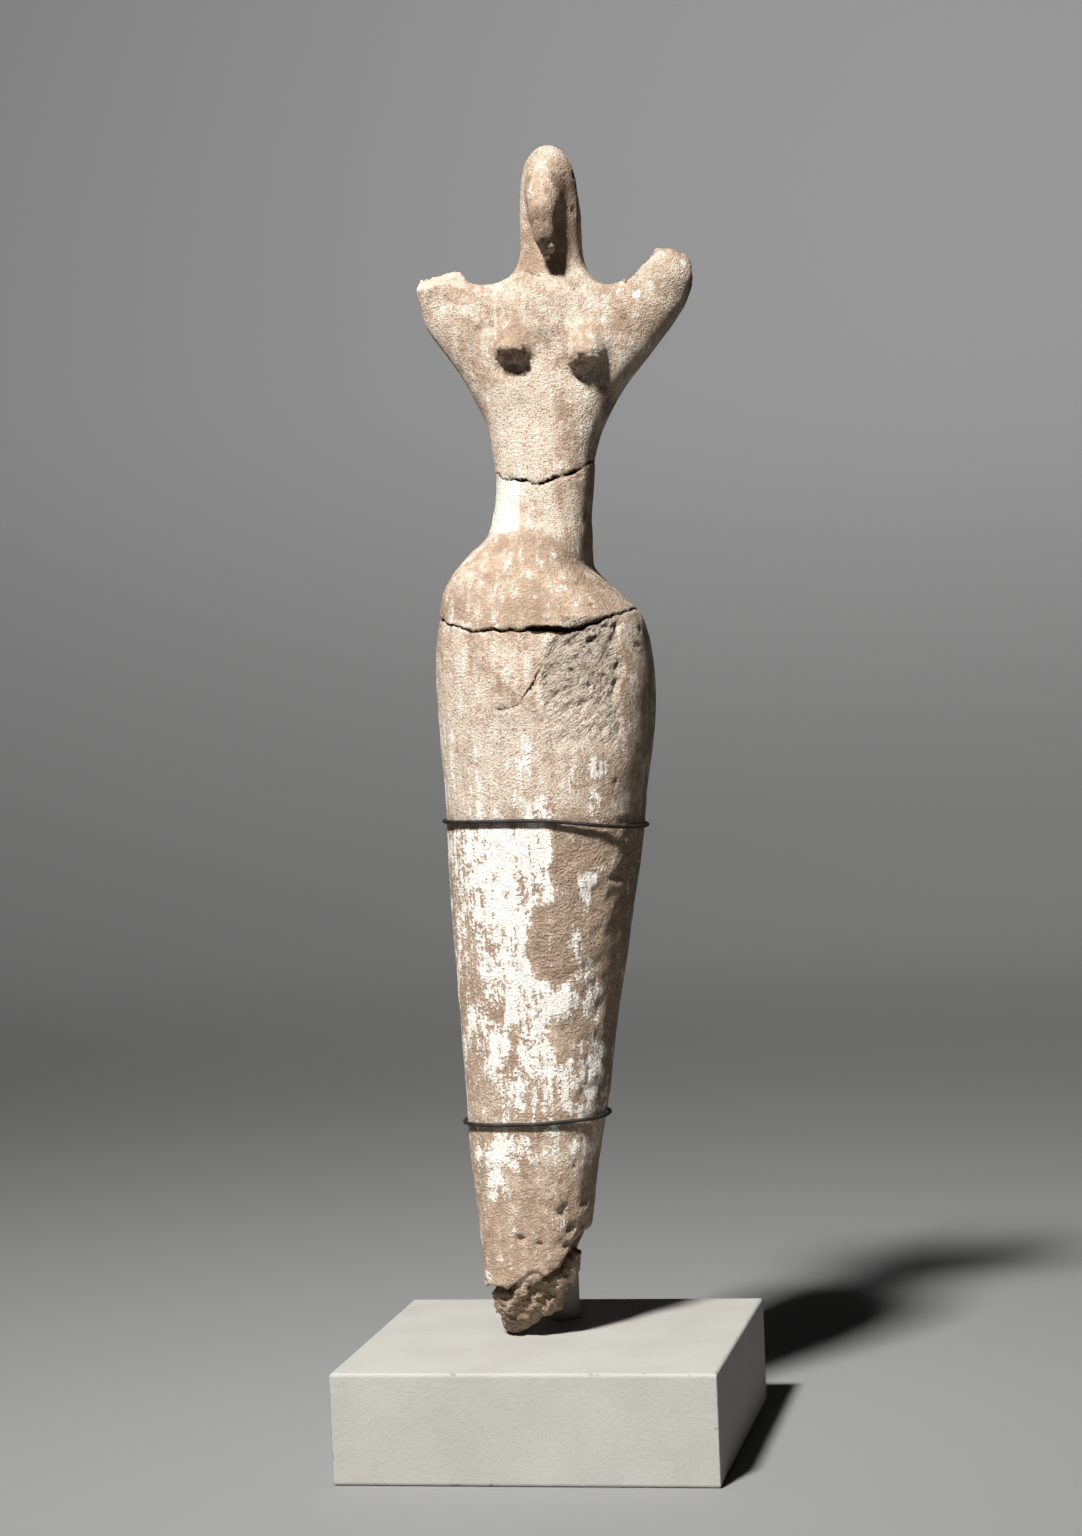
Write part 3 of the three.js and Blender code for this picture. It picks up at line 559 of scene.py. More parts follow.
    def bare_legs(self):
        """Gritty clay where the paint's ground has come off, on the right of shins and thighs."""
        p, x, z, front = self.p, self.x, self.z, self.front
        self.ragged_part = ease(-z, -114.5, -112.5)
        edge = np.interp(z, *np.array(PAINT_EDGE).T) + 0.8 * layered_noise(p, 3, 3, 63)
        edge += self.ragged_part * (2.2 * layered_noise(p, 6, 3, 64) - 4.0 * ease(z, 92, 97))
        bare = ease(x, edge, edge + 0.8) * ease(z, 57, 66) * ease(-z, -136, -133.5) * front
        ridges = np.abs(layered_noise(self.slant, 2.2, 1, 73))
        self.drop += bare * (0.26 + 0.50 * layered_noise(self.slant, 3.4, 2, 71) + 0.30 * ridges)
        flank = ease(x, 18, 25) * ease(z, 95, 110) * ease(-z, -150, -138)
        self.drop += flank * 0.22 * np.abs(layered_noise(p, 2.4, 3, 75))
        self.drop += front * 0.6 * ease(-self.oval(*SCAR), -1.2, -0.5)
        self.paint_edge, self.bare, self.flank = edge, bare, flank

    def crumble_foot(self):
        """Facets on the core, and lumps and holes along the right of the outer clay above it."""
        p, x, y, z, front = self.p, self.x, self.y, self.z, self.front
        edge = np.interp(x / self.tall, *BREAK_EDGE.T) * self.tall
        core = ease(-z, -edge - 2.2, -edge) * ease(-figure_body(*(p / self.tall).T) * self.tall, 0.9, 2.0)
        # under_edge: the core just under the outer clay's edge, sunk here and darkened as painted shade in masks()
        under_edge = core * ease(z, edge - 2.6, edge - 1.2)
        crumbs = ease(x, 1, 6) * ease(-z, -50, -28) * ease(-y, -14, 2) * (1 - core)
        facets = 0.35 - 1.35 * broken_facets(p, 5.5, 81) - 0.60 * broken_facets(p, 2.4, 83)
        self.drop += core * ease(z, 0.5, 6) * facets
        self.drop += core * 0.42 * layered_noise(p, 1.9, 2, 85) + 1.1 * under_edge
        self.drop += ease(-z, -72, -45) * (1 - core) * front * scattered_pits(p, 3.2, 0.75, 0.5, 107, 0.5)
        holes = scattered_pits(p, 4.2, 1.5, 1.1, 89, 0.6)
        self.drop += crumbs * (0.35 + 0.9 * layered_noise(p, 3.6, 3, 87) + holes)
        grain = np.abs(layered_noise(p * np.array([0.3, 1, 1]), 1.7, 2, 90))
        self.drop += ease(-z, -48, -30) * (1 - core) * front * 0.12 * grain
        self.core, self.under_edge, self.crumbs = core, under_edge, crumbs

    def break_tips(self):
        """Broken tip of the beak and undersides of the breasts, darkened partly as dirt and partly as painted shade; a
        darker patch at the right of the crown and on the lower half of the beak; painted shade on the right flank and
        arm.
        """
        p, x, y, z, front = self.p, self.x, self.y, self.z, self.front
        uneven = 0.25 * layered_noise(p, 2.4, 2, 97)
        facets = 0.2 - 0.8 * broken_facets(p, 3.0, 91) + 0.35 * layered_noise(p, 2.0, 2, 93)
        # the broken faces are darkened partly as dirt and partly as painted shade under the tips
        for *place, amount in BROKEN_TIPS:
            face = front * ease(-y, 8, 9.5) * ease(-self.oval(*place) - uneven, -1.2, -0.85)
            self.drop += face * facets
            self.darken(amount * face)
        # darker patch at the right of the crown
        brow = np.hypot((x - 14.6 + 0.35 * (z - 299)) / 2.6, (z - 298.2) / 3.4) + 0.35 * layered_noise(p, 2.2, 2, 95)
        self.darken(0.74 * front * ease(-brow, -1.3, -0.3))
        # painted shade along the right flank of the waist
        side = np.hypot((x - 24.5 + 0.25 * (z - 241)) / 3.4, (z - 241) / 7.5) + 0.3 * layered_noise(p, 2.6, 3, 96)
        self.darken(0.66 * ease(-side, -1.2, -0.4))
        # darker on the lower half of the beak
        self.darken(0.60 * ease(-y, 8.5, 10.5) * ease(z, 278, 282) * ease(-z, -299, -287))
        # painted shade: clay that faces right on the right arm and flank is darkened
        self.darken(0.44 * ease(self.facing[:, 0], 0.70, 0.92) * ease(x, 22, 28) * ease(z, 238, 246))

    def break_stumps(self):
        """Broken faces of the arm stumps, the left one's newer and paler, and a nick in the shoulder."""
        p, x, z = self.p, self.x, self.z
        for face in STUMP_BREAKS:
            cut = cut_distance(*(p / self.tall).T, face) * self.tall
            on_left = face[0] < 0
            here = ease(cut, -1.6, -0.6) * (ease(-x, 9.3, 11) if on_left else ease(x, 26, 28))
            here *= ease(self.facing @ np.array(face[3:]), 0.50, 0.78)
            self.drop += here * (0.1 + 0.8 * layered_noise(p, 2.6, 3, 101) - 0.35 * broken_facets(p, 2.8, 103))
            if on_left:
                self.fresh = 0.65 * here * ease(layered_noise(p, 3, 3, 105), -0.55, 0.05)
            elif face[3] < 0:
                self.fresh = np.maximum(self.fresh, 0.15 * here)
        self.drop += ease(x, -14.2, -13.3) * ease(-x, 8.5, 11.5) * ease(z, 272.5, 275) * 0.9

    def wear_down(self):
        """Moves the surface by its wear, with nothing that stands proud into a wire, the dowel or the block."""
        near_wire = sum(np.exp(-((self.z - height) / 2.2) ** 2) for height in WIRE_HEIGHTS)
        drop = np.maximum(self.drop, -0.22 - 0.45 * self.core)
        away = 1 - np.maximum(near_wire, self.back)
        drop = np.maximum(drop, -0.05 * near_wire - 5 * away - 0.12 * self.back)
        drop *= ease(self.z, -0.2, 1.4)
        self.p = self.p - self.facing * drop[:, None]
        self.streaks = value_noise(self.p * np.array([1, 1, 0.08]), 1.5, 111)
        self.fine_streaks = value_noise(self.p * np.array([1, 1, 0.12]), 0.9, 112)
        self.left_side = ease(-self.x, 8, 18) * ease(self.z, 132, 140) * ease(-self.z, -178, -158)
        self.stroke = distance_to_line(self.x, self.z + 0.8 * value_noise(self.p, 3, 127), LONG_STROKE)

    def paint(self):
        """How much paint is left: dense between the wires on the left, in patches elsewhere."""
        p, x, z, front = self.p, self.x, self.z, self.front
        between = ease(z, 56.5, 58.5) * ease(-z, -134.8, -133.2)
        paint = np.full(len(p), NO_PAINT)
        heavy = 0.46 + 0.30 * ease(x, -17, -8) + 0.10 * ease(z, 112, 128) - 0.20 * ease(-z, -72, -60)
        heavy -= 0.26 * ease(x, 0, 5) * ease(-z, -121, -116) * ease(z, 94, 98) + 0.10 * ease(-z, -112, -100)
        inside = ease(-x, -self.paint_edge, -self.paint_edge + 0.7 + 2.8 * self.ragged_part)
        paint = np.maximum(paint, between * front * (NO_PAINT + (heavy - NO_PAINT) * inside))
        for *place, amount in PAINT_PATCHES:
            patch = ease(-self.oval(*place), -1.6, -0.6)
            paint = np.maximum(paint, NO_PAINT + front * (amount - NO_PAINT) * patch)
        uneven = 0.25 * layered_noise(p, 2.4, 2, 113)
        for *place, amount in PAINT_LOSSES:
            paint -= front * amount * ease(-self.oval(*place) - uneven, -1.3, -0.7)
        paint = np.maximum(paint, NO_PAINT + self.left_side * (0.62 + 0.30 * self.fine_streaks))
        lower_thigh = ease(z, 132, 137) * ease(-z, -176, -148) * front * ease(-x, -12, -4)
        paint = np.maximum(paint, NO_PAINT + lower_thigh * (0.52 + 0.22 * self.fine_streaks))
        behind = 0.36 + 0.2 * self.streaks + 0.25 * value_noise(p, 20, 117)
        paint = np.maximum(paint, self.back * between * behind)
        long_stroke = ease(-self.stroke, -1.3, -0.4) * ease(z, 240, 250)
        paint = np.maximum(paint, NO_PAINT + front * 0.72 * long_stroke)
        short_stroke = distance_to_line(x, z, SHORT_STROKE)
        paint = np.maximum(paint, front * 0.62 * ease(-short_stroke, -0.7, -0.2))
        paint = np.maximum(paint, front * 0.8 * ease(-self.oval(*DAB, 1, 1), -1.9, -0.8))
        return np.clip(paint - 1.2 * self.patch - 1.2 * self.core, -0.5, 1)

    def film(self):
        """How thick the dusty film lies: most on the torso, least on head, bare clay and foot."""
        p, x, z, front = self.p, self.x, self.z, self.front
        film = 0.50 + 0.18 * ease(z, 205, 236) + 0.16 * value_noise(p, 14, 121)
        film += 0.12 * front * ease(z, 134, 140) * ease(-z, -172, -160) * ease(-x, -8, 0) * (1 + self.streaks)
        thigh = ease(z, 134, 140) * ease(-z, -186, -176) * ease(-x, -24, -16)
        film += 0.6 * self.patch + 0.25 * front * (1 - self.patch) * thigh
        film += self.left_side * 0.15 * (1 + self.fine_streaks)
        for place_x, place_z, radius, amount in FILM_PATCHES:
            film += amount * front * ease(-np.hypot(x - place_x, z - place_z) / radius, -1.3, -0.3)
        film -= 0.25 * (self.core + self.crumbs)
        film += front * 0.5 * ease(-self.stroke, -1.8, -0.4)
        return np.clip(film, 0, 1)

    def plaster(self):
        """The plaster fill at the left of the waist, under the joint."""
        p, x, y, z = self.p, self.x, self.y, self.z
        uneven = 0.7 * layered_noise(p, 2, 2, 131)
        fill = ease(-x + uneven, -1.9, -1.1) * ease(z + uneven, 208.5, 210) * ease(-x, -2.5, -1.5)
        return fill * ease(-z + self.jag, -223.6, -222.8) * ease(-y, -7, -2)

    def masks(self):
        """What the clay material reads at each point."""
        foot = self.core * (0.28 + 0.40 * ease(layered_noise(self.p, 5, 2, 141), -0.2, 0.4))
        return {
            "paint": self.paint(), "film": self.film(), "fill": self.plaster(), "fresh": self.fresh,
            "bare": np.clip(self.bare + self.core + 0.7 * self.crumbs + 0.5 * self.flank, 0, 1),
            # the stain mask holds the foot core's stain and the hairline, and painted shade on the core just under the
            # outer clay's edge
            "stain_and_shade": np.maximum(self.stain_and_shade, foot + 0.9 * self.hairline + 0.8 * self.under_edge),
            "joint": np.clip(self.joint, -4, 4), "open": self.opening, "flaked": self.flaked,
            "flake": np.clip(self.flake, -4, 4), "loose": self.loose,
        }


# ---- Meshes

def add_mesh(name, points, faces):
    """Puts a smooth-shaded piece into the scene."""
    mesh = bpy.data.meshes.new(name)
    mesh.from_pydata(np.asarray(points).tolist(), [], [tuple(map(int, face)) for face in faces])
    mesh.validate()
    mesh.update()
    mesh.shade_smooth()
    piece = bpy.data.objects.new(name, mesh)
    bpy.context.scene.collection.objects.link(piece)
    return piece


def add_mask(piece, name, values):
    """Keeps one number for each point, which the material reads by name."""
    layer = piece.data.attributes.new(name, "FLOAT", "POINT")
    layer.data.foreach_set("value", np.asarray(values, dtype=np.float32))


def turned(profile, sides):
    """Points and faces of a closed turned form: profile is (radius, height), from axis to axis."""
    points, faces = [(0, 0, profile[0][1])], []
    for r, z in profile[1:-1]:
        points += [(r * math.cos(a), r * math.sin(a), z) for a in np.linspace(0, 2 * math.pi, sides, False)]
    points.append((0, 0, profile[-1][1]))
    rings = len(profile) - 2
    for i in range(sides):
        j = (i + 1) % sides
        faces.append((0, 1 + j, 1 + i))
        for k in range(rings - 1):
            a, b = 1 + k * sides, 1 + (k + 1) * sides
            faces.append((a + i, a + j, b + j, b + i))
        top = 1 + (rings - 1) * sides
        faces.append((top + i, top + j, len(points) - 1))
    return np.array(points), faces


def tube(path, radius, sides, closed):
    """Points and faces of a round tube along a path."""
    path = np.asarray(path)
    count = len(path)
    ahead = np.roll(path, -1, 0) - np.roll(path, 1, 0)
    if not closed:
        ahead[0], ahead[-1] = path[1] - path[0], path[-1] - path[-2]
    ahead /= np.linalg.norm(ahead, axis=1, keepdims=True)
    guide = np.array([0.0, 0.0, 1.0]) if abs(ahead[:, 2]).max() < 0.9 else np.array([1.0, 0.02, 0.0])
    points, faces = [], []
    for p, t in zip(path, ahead):
        side = np.cross(guide, t)
        side /= np.linalg.norm(side)
        up = np.cross(t, side)
        for a in np.linspace(0, 2 * math.pi, sides, False):
            points.append(p + radius * (math.cos(a) * side + math.sin(a) * up))
    for k in range(count if closed else count - 1):
        for i in range(sides):
            j, n = (i + 1) % sides, (k + 1) % count
            faces.append((k * sides + i, k * sides + j, n * sides + j, n * sides + i))
    if not closed:
        faces.append(tuple(range(sides))[::-1])
        faces.append(tuple((count - 1) * sides + i for i in range(sides)))
    return np.array(points), faces


def bring_out(piece, *nodes, slot):
    """Lets a piece stand for its solids and move with the root body; slot is not used."""
    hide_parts(*nodes)
    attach(piece, "root")


# ---- Materials

class Shades:
    """Short calls for making and joining nodes in one tree."""

    def __init__(self, tree):
        self.tree = tree

    def node(self, kind, settings=None, **inputs):
        made = self.tree.nodes.new(kind)
        for key, value in (settings or {}).items():
            setattr(made, key, value)
        for key, value in inputs.items():
            by_number = key[0] == "i" and key[1:].isdigit()
            self.feed(made.inputs[int(key[1:]) if by_number else key.replace("_", " ")], value)
        return made

    def feed(self, socket, value):
        """Sets a socket to a value or links it to another node's output."""
        if isinstance(value, bpy.types.NodeSocket):
            self.tree.links.new(value, socket)
        else:
            socket.default_value = value

    def math(self, kind, a, b=0.0):
        return self.node("ShaderNodeMath", {"operation": kind}, i0=a, i1=b).outputs[0]

    def plus(self, a, b):
        return self.math("ADD", a, b)

    def minus(self, a, b):
        return self.math("SUBTRACT", a, b)

    def times(self, a, b):
        return self.math("MULTIPLY", a, b)

    def vector(self, kind, a, b=(0.0, 0.0, 0.0)):
        return self.node("ShaderNodeVectorMath", {"operation": kind}, i0=a, i1=b).outputs[0]

    def ramp(self, value, low, high, to_low=0.0, to_high=1.0):
        made = self.node("ShaderNodeMapRange", {"interpolation_type": "SMOOTHSTEP"}, Value=value,
                         From_Min=low, From_Max=high, To_Min=to_low, To_Max=to_high)
        return made.outputs["Result"]

    def mix(self, factor, a, b):
        """One colour over another; colours are red, green and blue or a socket."""
        made = self.node("ShaderNodeMix", {"data_type": "RGBA", "clamp_factor": True})
        self.feed(made.inputs[0], factor)
        for number, value in ((6, a), (7, b)):
            self.feed(made.inputs[number], value if isinstance(value, bpy.types.NodeSocket) else (*value[:3], 1.0))
        return made.outputs[2]

    def noises(self, *parts):
        """Sum of noises about their middle value, each with its weight."""
        total = None
        for value, weight in parts:
            part = self.times(self.minus(value, 0.5), weight)
            total = part if total is None else self.plus(total, part)
        return total

    def mask(self, name):
        return self.node("ShaderNodeAttribute", {"attribute_name": name}).outputs["Fac"]


def surface_wear_group():
    """Uneven tone of an old matt surface: blotches, vertical streaks, specks and a fine grain."""
    group = bpy.data.node_groups.get("surface wear")
    if group:
        return group
    group = bpy.data.node_groups.new("surface wear", "ShaderNodeTree")
    for name, default in (("Blotch Size", 0.006), ("Streak Size", 0.0016), ("Speck Size", 0.0009),
                          ("Grain Size", 0.0004)):
        socket = group.interface.new_socket(name, in_out="INPUT", socket_type="NodeSocketFloat")
        socket.default_value = default
    for name in ("Blotch", "Streak", "Speck", "Grain"):
        group.interface.new_socket(name, in_out="OUTPUT", socket_type="NodeSocketFloat")
    s = Shades(group)
    given = s.node("NodeGroupInput")
    result = s.node("NodeGroupOutput")
    place = s.node("ShaderNodeTexCoord").outputs["Object"]
    upright = s.vector("MULTIPLY", place, (1.0, 1.0, 0.11))
    for name, vector, detail, rough in (("Blotch", place, 5.0, 0.62), ("Streak", upright, 4.0, 0.6),
                                        ("Speck", place, 3.0, 0.65), ("Grain", place, 2.0, 0.6)):
        scale = s.math("DIVIDE", 1.0, given.outputs[name + " Size"])
        noise = s.node("ShaderNodeTexNoise", None, Vector=vector, Scale=scale, Detail=detail, Roughness=rough)
        s.feed(result.inputs[name], noise.outputs["Fac"])
    return group


def new_material(name):
    """An empty material with its shader, and short calls for its nodes."""
    material = bpy.data.materials.new(name)
    material.use_nodes = True
    tree = material.node_tree
    tree.nodes.clear()
    s = Shades(tree)
    surface = s.node("ShaderNodeBsdfPrincipled")
    out = s.node("ShaderNodeOutputMaterial")
    s.feed(out.inputs[0], surface.outputs[0])
    return material, s, surface


def add_relief(s, surface, height, strength, distance):
    """Fine relief by bump: height 1 stands for the distance."""
    bump = s.node("ShaderNodeBump", None, Strength=strength, Distance=distance, Height=height)
    s.feed(surface.inputs["Normal"], bump.outputs[0])


def worn(s, **sizes):
    """Outputs of the surface wear group, placed with its own sizes."""
    made = s.node("ShaderNodeGroup")
    made.node_tree = surface_wear_group()
    for key, value in sizes.items():
        made.inputs[key.replace("_", " ")].default_value = value
    return made.outputs


def clay_material(look):
    """Fired clay with a dusty film, the remains of chalky paint, a plaster fill and fresh breaks."""
    material, s, surface = new_material("painted clay")
    coarse = worn(s, Blotch_Size=0.0080, Streak_Size=0.0019, Speck_Size=0.0014, Grain_Size=0.00055)
    fine = worn(s, Blotch_Size=0.0030, Streak_Size=0.0008, Speck_Size=0.00075, Grain_Size=0.00035)
    paint, film, bare, fresh = s.mask("paint"), s.mask("film"), s.mask("bare"), s.mask("fresh")
    fill, stain_and_shade, flaked = s.mask("fill"), s.mask("stain_and_shade"), s.mask("flaked")

    # open joints: the masks give the distance to each line in millimetres, so the lines stay sharp
    wobble = s.times(s.minus(fine["Speck"], 0.5), 1.7)
    joint = s.math("ABSOLUTE", s.plus(s.mask("joint"), wobble))
    crack = s.ramp(s.minus(joint, s.mask("open")), 0.02, 0.16, 1.0, 0.0)
    loose = s.math("ABSOLUTE", s.plus(s.mask("flake"), wobble))
    loose = s.ramp(s.minus(loose, s.ramp(coarse["Blotch"], 0.40, 0.64, -0.03, 0.26)), 0.0, 0.14, 1.0, 0.0)
    crack = s.math("MAXIMUM", crack, s.times(loose, s.mask("loose")))

    # how much paint is left: the layout sets the share, the noises set its ragged edges
    ragged = s.noises((coarse["Blotch"], 1.5), (fine["Blotch"], 1.7), (coarse["Streak"], 1.8),
                      (fine["Streak"], 1.0), (fine["Speck"], 1.4))
    left = s.ramp(s.plus(paint, ragged), 0.37, 0.66)
    uneven = s.noises((coarse["Blotch"], 1.1), (coarse["Streak"], 0.9), (fine["Blotch"], 1.3), (fine["Speck"], 1.7))
    thin = s.ramp(s.plus(film, uneven), 0.38, 0.86)

    tone = s.mix(s.ramp(coarse["Blotch"], 0.32, 0.68), look.clay_dark, look.clay_light)
    tone = s.mix(s.times(bare, 0.7), tone, look.clay_bare)
    tone = s.mix(s.times(thin, s.ramp(bare, 0.0, 1.0, 0.95, 0.30)), tone, look.dust)
    tone = s.mix(s.ramp(fine["Speck"], 0.51, 0.68, 0.0, 0.72), tone, look.clay_deep_and_shade)
    tone = s.mix(s.ramp(coarse["Speck"], 0.56, 0.72, 0.0, 0.55), tone, look.dust)
    tone = s.mix(s.ramp(fine["Grain"], 0.40, 0.66, 0.0, 0.38), tone, look.clay_deep_and_shade)
    soiled = s.plus(fine["Blotch"], s.noises((fine["Grain"], 0.5)))
    white = s.mix(s.ramp(soiled, 0.27, 0.50), look.paint_grey, look.paint)
    tone = s.mix(s.times(left, s.ramp(fine["Speck"], 0.58, 0.72, 1.0, 0.45)), tone, white)
    pale = s.mix(s.ramp(coarse["Speck"], 0.40, 0.62), look.fresh_break, look.dust)
    tone = s.mix(fresh, tone, pale)
    tone = s.mix(s.times(fill, s.ramp(fine["Blotch"], 0.56, 0.72, 0.96, 0.55)), tone, look.plaster)
    # darkening from the mask of stains and shade: real stains and dirt, and painted shade under the outer clay's edge,
    # on the right flank and arm and on the broken tips
    dirt_and_shade = s.ramp(s.plus(stain_and_shade, s.noises((fine["Blotch"], 1.0), (fine["Speck"], 0.8))), 0.35, 0.80)
    tone = s.mix(s.times(dirt_and_shade, 0.8), tone, look.clay_deep_and_shade)
    tone = s.mix(crack, tone, look.crack)
    rough = s.ramp(coarse["Grain"], 0.2, 0.8, look.roughness - 0.08, look.roughness + 0.05)
    s.feed(surface.inputs["Roughness"], rough)
    surface.inputs["Specular IOR Level"].default_value = 0.2

    # relief: paint stands proud, bare clay is gritty, the worn patch lies in slanting flakes, whose hollows get
    # painted shade in the base colour
    place = s.node("ShaderNodeTexCoord").outputs["Object"]
    slant = s.node("ShaderNodeVectorRotate", {"rotation_type": "Y_AXIS"}, Vector=place, Angle=0.62).outputs[0]
    slant = s.vector("MULTIPLY", slant, (0.38, 1.0, 1.0))
    flakes = s.node("ShaderNodeTexNoise", None, Vector=slant, Scale=820.0, Detail=4.0, Roughness=0.62).outputs["Fac"]
    stray = s.node("ShaderNodeTexNoise", None, Vector=slant, Scale=500.0, Detail=2.0).outputs["Color"]
    warped = s.vector("ADD", s.vector("MULTIPLY", stray, (0.0016, 0.0016, 0.0016)), slant)
    scales = s.node("ShaderNodeTexVoronoi", None, Vector=warped, Scale=430.0).outputs["Distance"]
    flakes = s.plus(s.times(s.math("ABSOLUTE", s.minus(flakes, 0.5)), 6.0), s.times(scales, 1.4))
    # painted shade: the flakes' hollows are darkened in the base colour
    flake_hollow_shade = s.times(s.ramp(flakes, 1.00, 1.75, 0.0, 0.60), flaked)
    s.feed(surface.inputs["Base Color"], s.mix(flake_hollow_shade, tone, look.clay_deep_and_shade))
    grit = s.times(s.noises((coarse["Speck"], 0.6), (fine["Speck"], 0.8)), s.ramp(bare, 0.0, 1.0, 0.42, 1.3))
    grit = s.times(grit, s.ramp(left, 0.0, 1.0, 1.0, 0.5))
    height = s.plus(s.times(left, 0.09), grit)
    height = s.minus(height, s.times(flakes, flaked))
    grain = s.noises((coarse["Grain"], 0.26), (fine["Grain"], 0.28), (coarse["Streak"], 0.25), (fine["Blotch"], 0.25))
    height = s.minus(s.plus(height, grain), s.times(crack, 0.5))
    add_relief(s, surface, height, 1.0, 0.001)
    return material


def painted_wood_material(name, tint, shade, scratch, box):
    """Matt pale paint over wood, brushed on, a little dusty and nicked along the edges of its box."""
    material, s, surface = new_material(name)
    wear = worn(s, Blotch_Size=0.024, Streak_Size=0.004, Speck_Size=0.0012, Grain_Size=0.0006)
    spots = worn(s, Blotch_Size=0.006, Streak_Size=0.0007, Speck_Size=0.0032, Grain_Size=0.0004)
    place = s.node("ShaderNodeTexCoord").outputs["Object"]
    middle = (box[0] + box[1]) / 2
    half = (box[1] - box[0]) / 2
    away = s.vector("ABSOLUTE", s.vector("SUBTRACT", place, tuple(middle)))
    away = s.vector("SUBTRACT", tuple(half), away)
    a, b, c = s.node("ShaderNodeSeparateXYZ", None, i0=away).outputs
    nearest_edge = s.math("MAXIMUM", s.math("MINIMUM", a, b), s.math("MINIMUM", s.math("MAXIMUM", a, b), c))
    reach = s.ramp(spots["Speck"], 0.58, 0.78, 0.0, 0.0013)
    nicked = s.ramp(s.minus(nearest_edge, reach), 0.0, 0.0002, 1.0, 0.0)
    tone = s.mix(s.ramp(wear["Blotch"], 0.30, 0.70), shade, tint)
    tone = s.mix(s.ramp(spots["Blotch"], 0.55, 0.75, 0.0, 0.35), tone, shade)
    tone = s.mix(s.ramp(wear["Grain"], 0.52, 0.74, 0.0, 0.22), tone, scratch)
    tone = s.mix(s.ramp(spots["Speck"], 0.74, 0.78, 0.0, 0.7), tone, scratch)
    tone = s.mix(nicked, tone, scratch)
    s.feed(surface.inputs["Base Color"], tone)
    s.feed(surface.inputs["Roughness"], s.ramp(wear["Grain"], 0.2, 0.8, 0.66, 0.82))
    surface.inputs["Specular IOR Level"].default_value = 0.25
    height = s.noises((wear["Speck"], 0.05), (wear["Grain"], 0.10), (spots["Blotch"], 0.04), (wear["Blotch"], 0.15))
    height = s.minus(height, s.times(nicked, 0.3))
    add_relief(s, surface, height, 0.8, 0.001)
    return material


def wire_material(look):
    """Dark annealed iron wire, dull, with paler rubbed places."""
    material, s, surface = new_material("annealed iron")
    wear = worn(s, Blotch_Size=0.004, Streak_Size=0.001, Speck_Size=0.0005, Grain_Size=0.0002)
    tone = s.mix(s.ramp(wear["Blotch"], 0.35, 0.7), look.wire_dark, look.wire_rubbed)
    s.feed(surface.inputs["Base Color"], tone)
    s.feed(surface.inputs["Roughness"], s.ramp(wear["Speck"], 0.3, 0.7, 0.50, 0.70))
    surface.inputs["Metallic"].default_value = 0.4
    add_relief(s, surface, wear["Speck"], 0.5, 0.0003)
    return material


# ---- Settings

def tint(name, description, default):
    return bpy.props.FloatVectorProperty(name=name, description=description, default=default, size=3,
                                         subtype="COLOR", min=0.0, max=1.0)


def length(name, description, default_mm):
    return bpy.props.FloatProperty(name=name, description=description, default=default_mm * MM, unit="LENGTH",
                                   min=0.0, precision=4)


class FigurineSettings(bpy.types.PropertyGroup):
    height: length("Height", "From the tip of the broken foot to the crown", 310.0)
    cell: length("Mesh cell", "Size of the cells that the surface is made with", 0.75)
    crack_width: length("Crack half width", "Half the width of the mends' open joints", 0.26)
    crack_depth: length("Crack depth", "Depth of the mends' open joints", 1.3)
    erosion: length("Erosion", "Depth of the worn patch on the right thigh", 0.9)
    pit_depth: length("Pit depth", "Depth of the scattered pits", 0.45)
    clay_light: tint("Clay, light", "Lighter tone of the fired clay", (0.50, 0.36, 0.252))
    clay_dark: tint("Clay, dark", "Darker tone of the fired clay", (0.345, 0.24, 0.166))
    clay_bare: tint("Clay, bare", "Clay where the surface has come away", (0.42, 0.305, 0.217))
    # this colour also serves for painted shade in the flakes' hollows and on shaded places
    clay_deep_and_shade: tint("Clay, specks", "Dark specks in the clay", (0.15, 0.10, 0.07))
    dust: tint("Dusty film", "Pale film over the torso", (0.70, 0.585, 0.47))
    paint: tint("Paint", "Chalky white paint", (0.84, 0.79, 0.71))
    paint_grey: tint("Paint, soiled", "Soiled tone of the paint", (0.62, 0.55, 0.46))
    plaster: tint("Plaster fill", "Fill at the waist mend", (0.66, 0.63, 0.56))
    fresh_break: tint("Fresh break", "Clay in the newer break of the left stump", (0.66, 0.545, 0.43))
    crack: tint("Cracks", "Bottom of the cracks", (0.018, 0.013, 0.010))
    roughness: bpy.props.FloatProperty(name="Roughness", description="Roughness of the clay and paint",
                                       default=0.9, min=0.0, max=1.0, subtype="FACTOR")


class StandSettings(bpy.types.PropertyGroup):
    rod_radius: length("Dowel radius", "Radius of the dowel behind the legs", 4.0)
    rod_chamfer: length("Dowel chamfer", "Chamfer of the dowel's top", 0.7)
    wire_radius: length("Wire radius", "Radius of the tie wires", 0.5)
    wire_stand: length("Wire gap", "Air between a wire and what it runs round", 0.3)
    block_paint: tint("Block paint", "Pale paint of the block", (0.385, 0.374, 0.340))
    block_shade: tint("Block paint, soiled", "Soiled tone of the block's paint", (0.345, 0.332, 0.298))
    chip: tint("Chips", "Tone of chips and specks in the paint", (0.27, 0.25, 0.22))
    rod_paint: tint("Dowel paint", "Paint of the dowel", (0.40, 0.38, 0.34))
    wire_dark: tint("Wire", "Dark tone of the wires", (0.010, 0.009, 0.008))
    wire_rubbed: tint("Wire, rubbed", "Rubbed tone of the wires", (0.045, 0.040, 0.036))


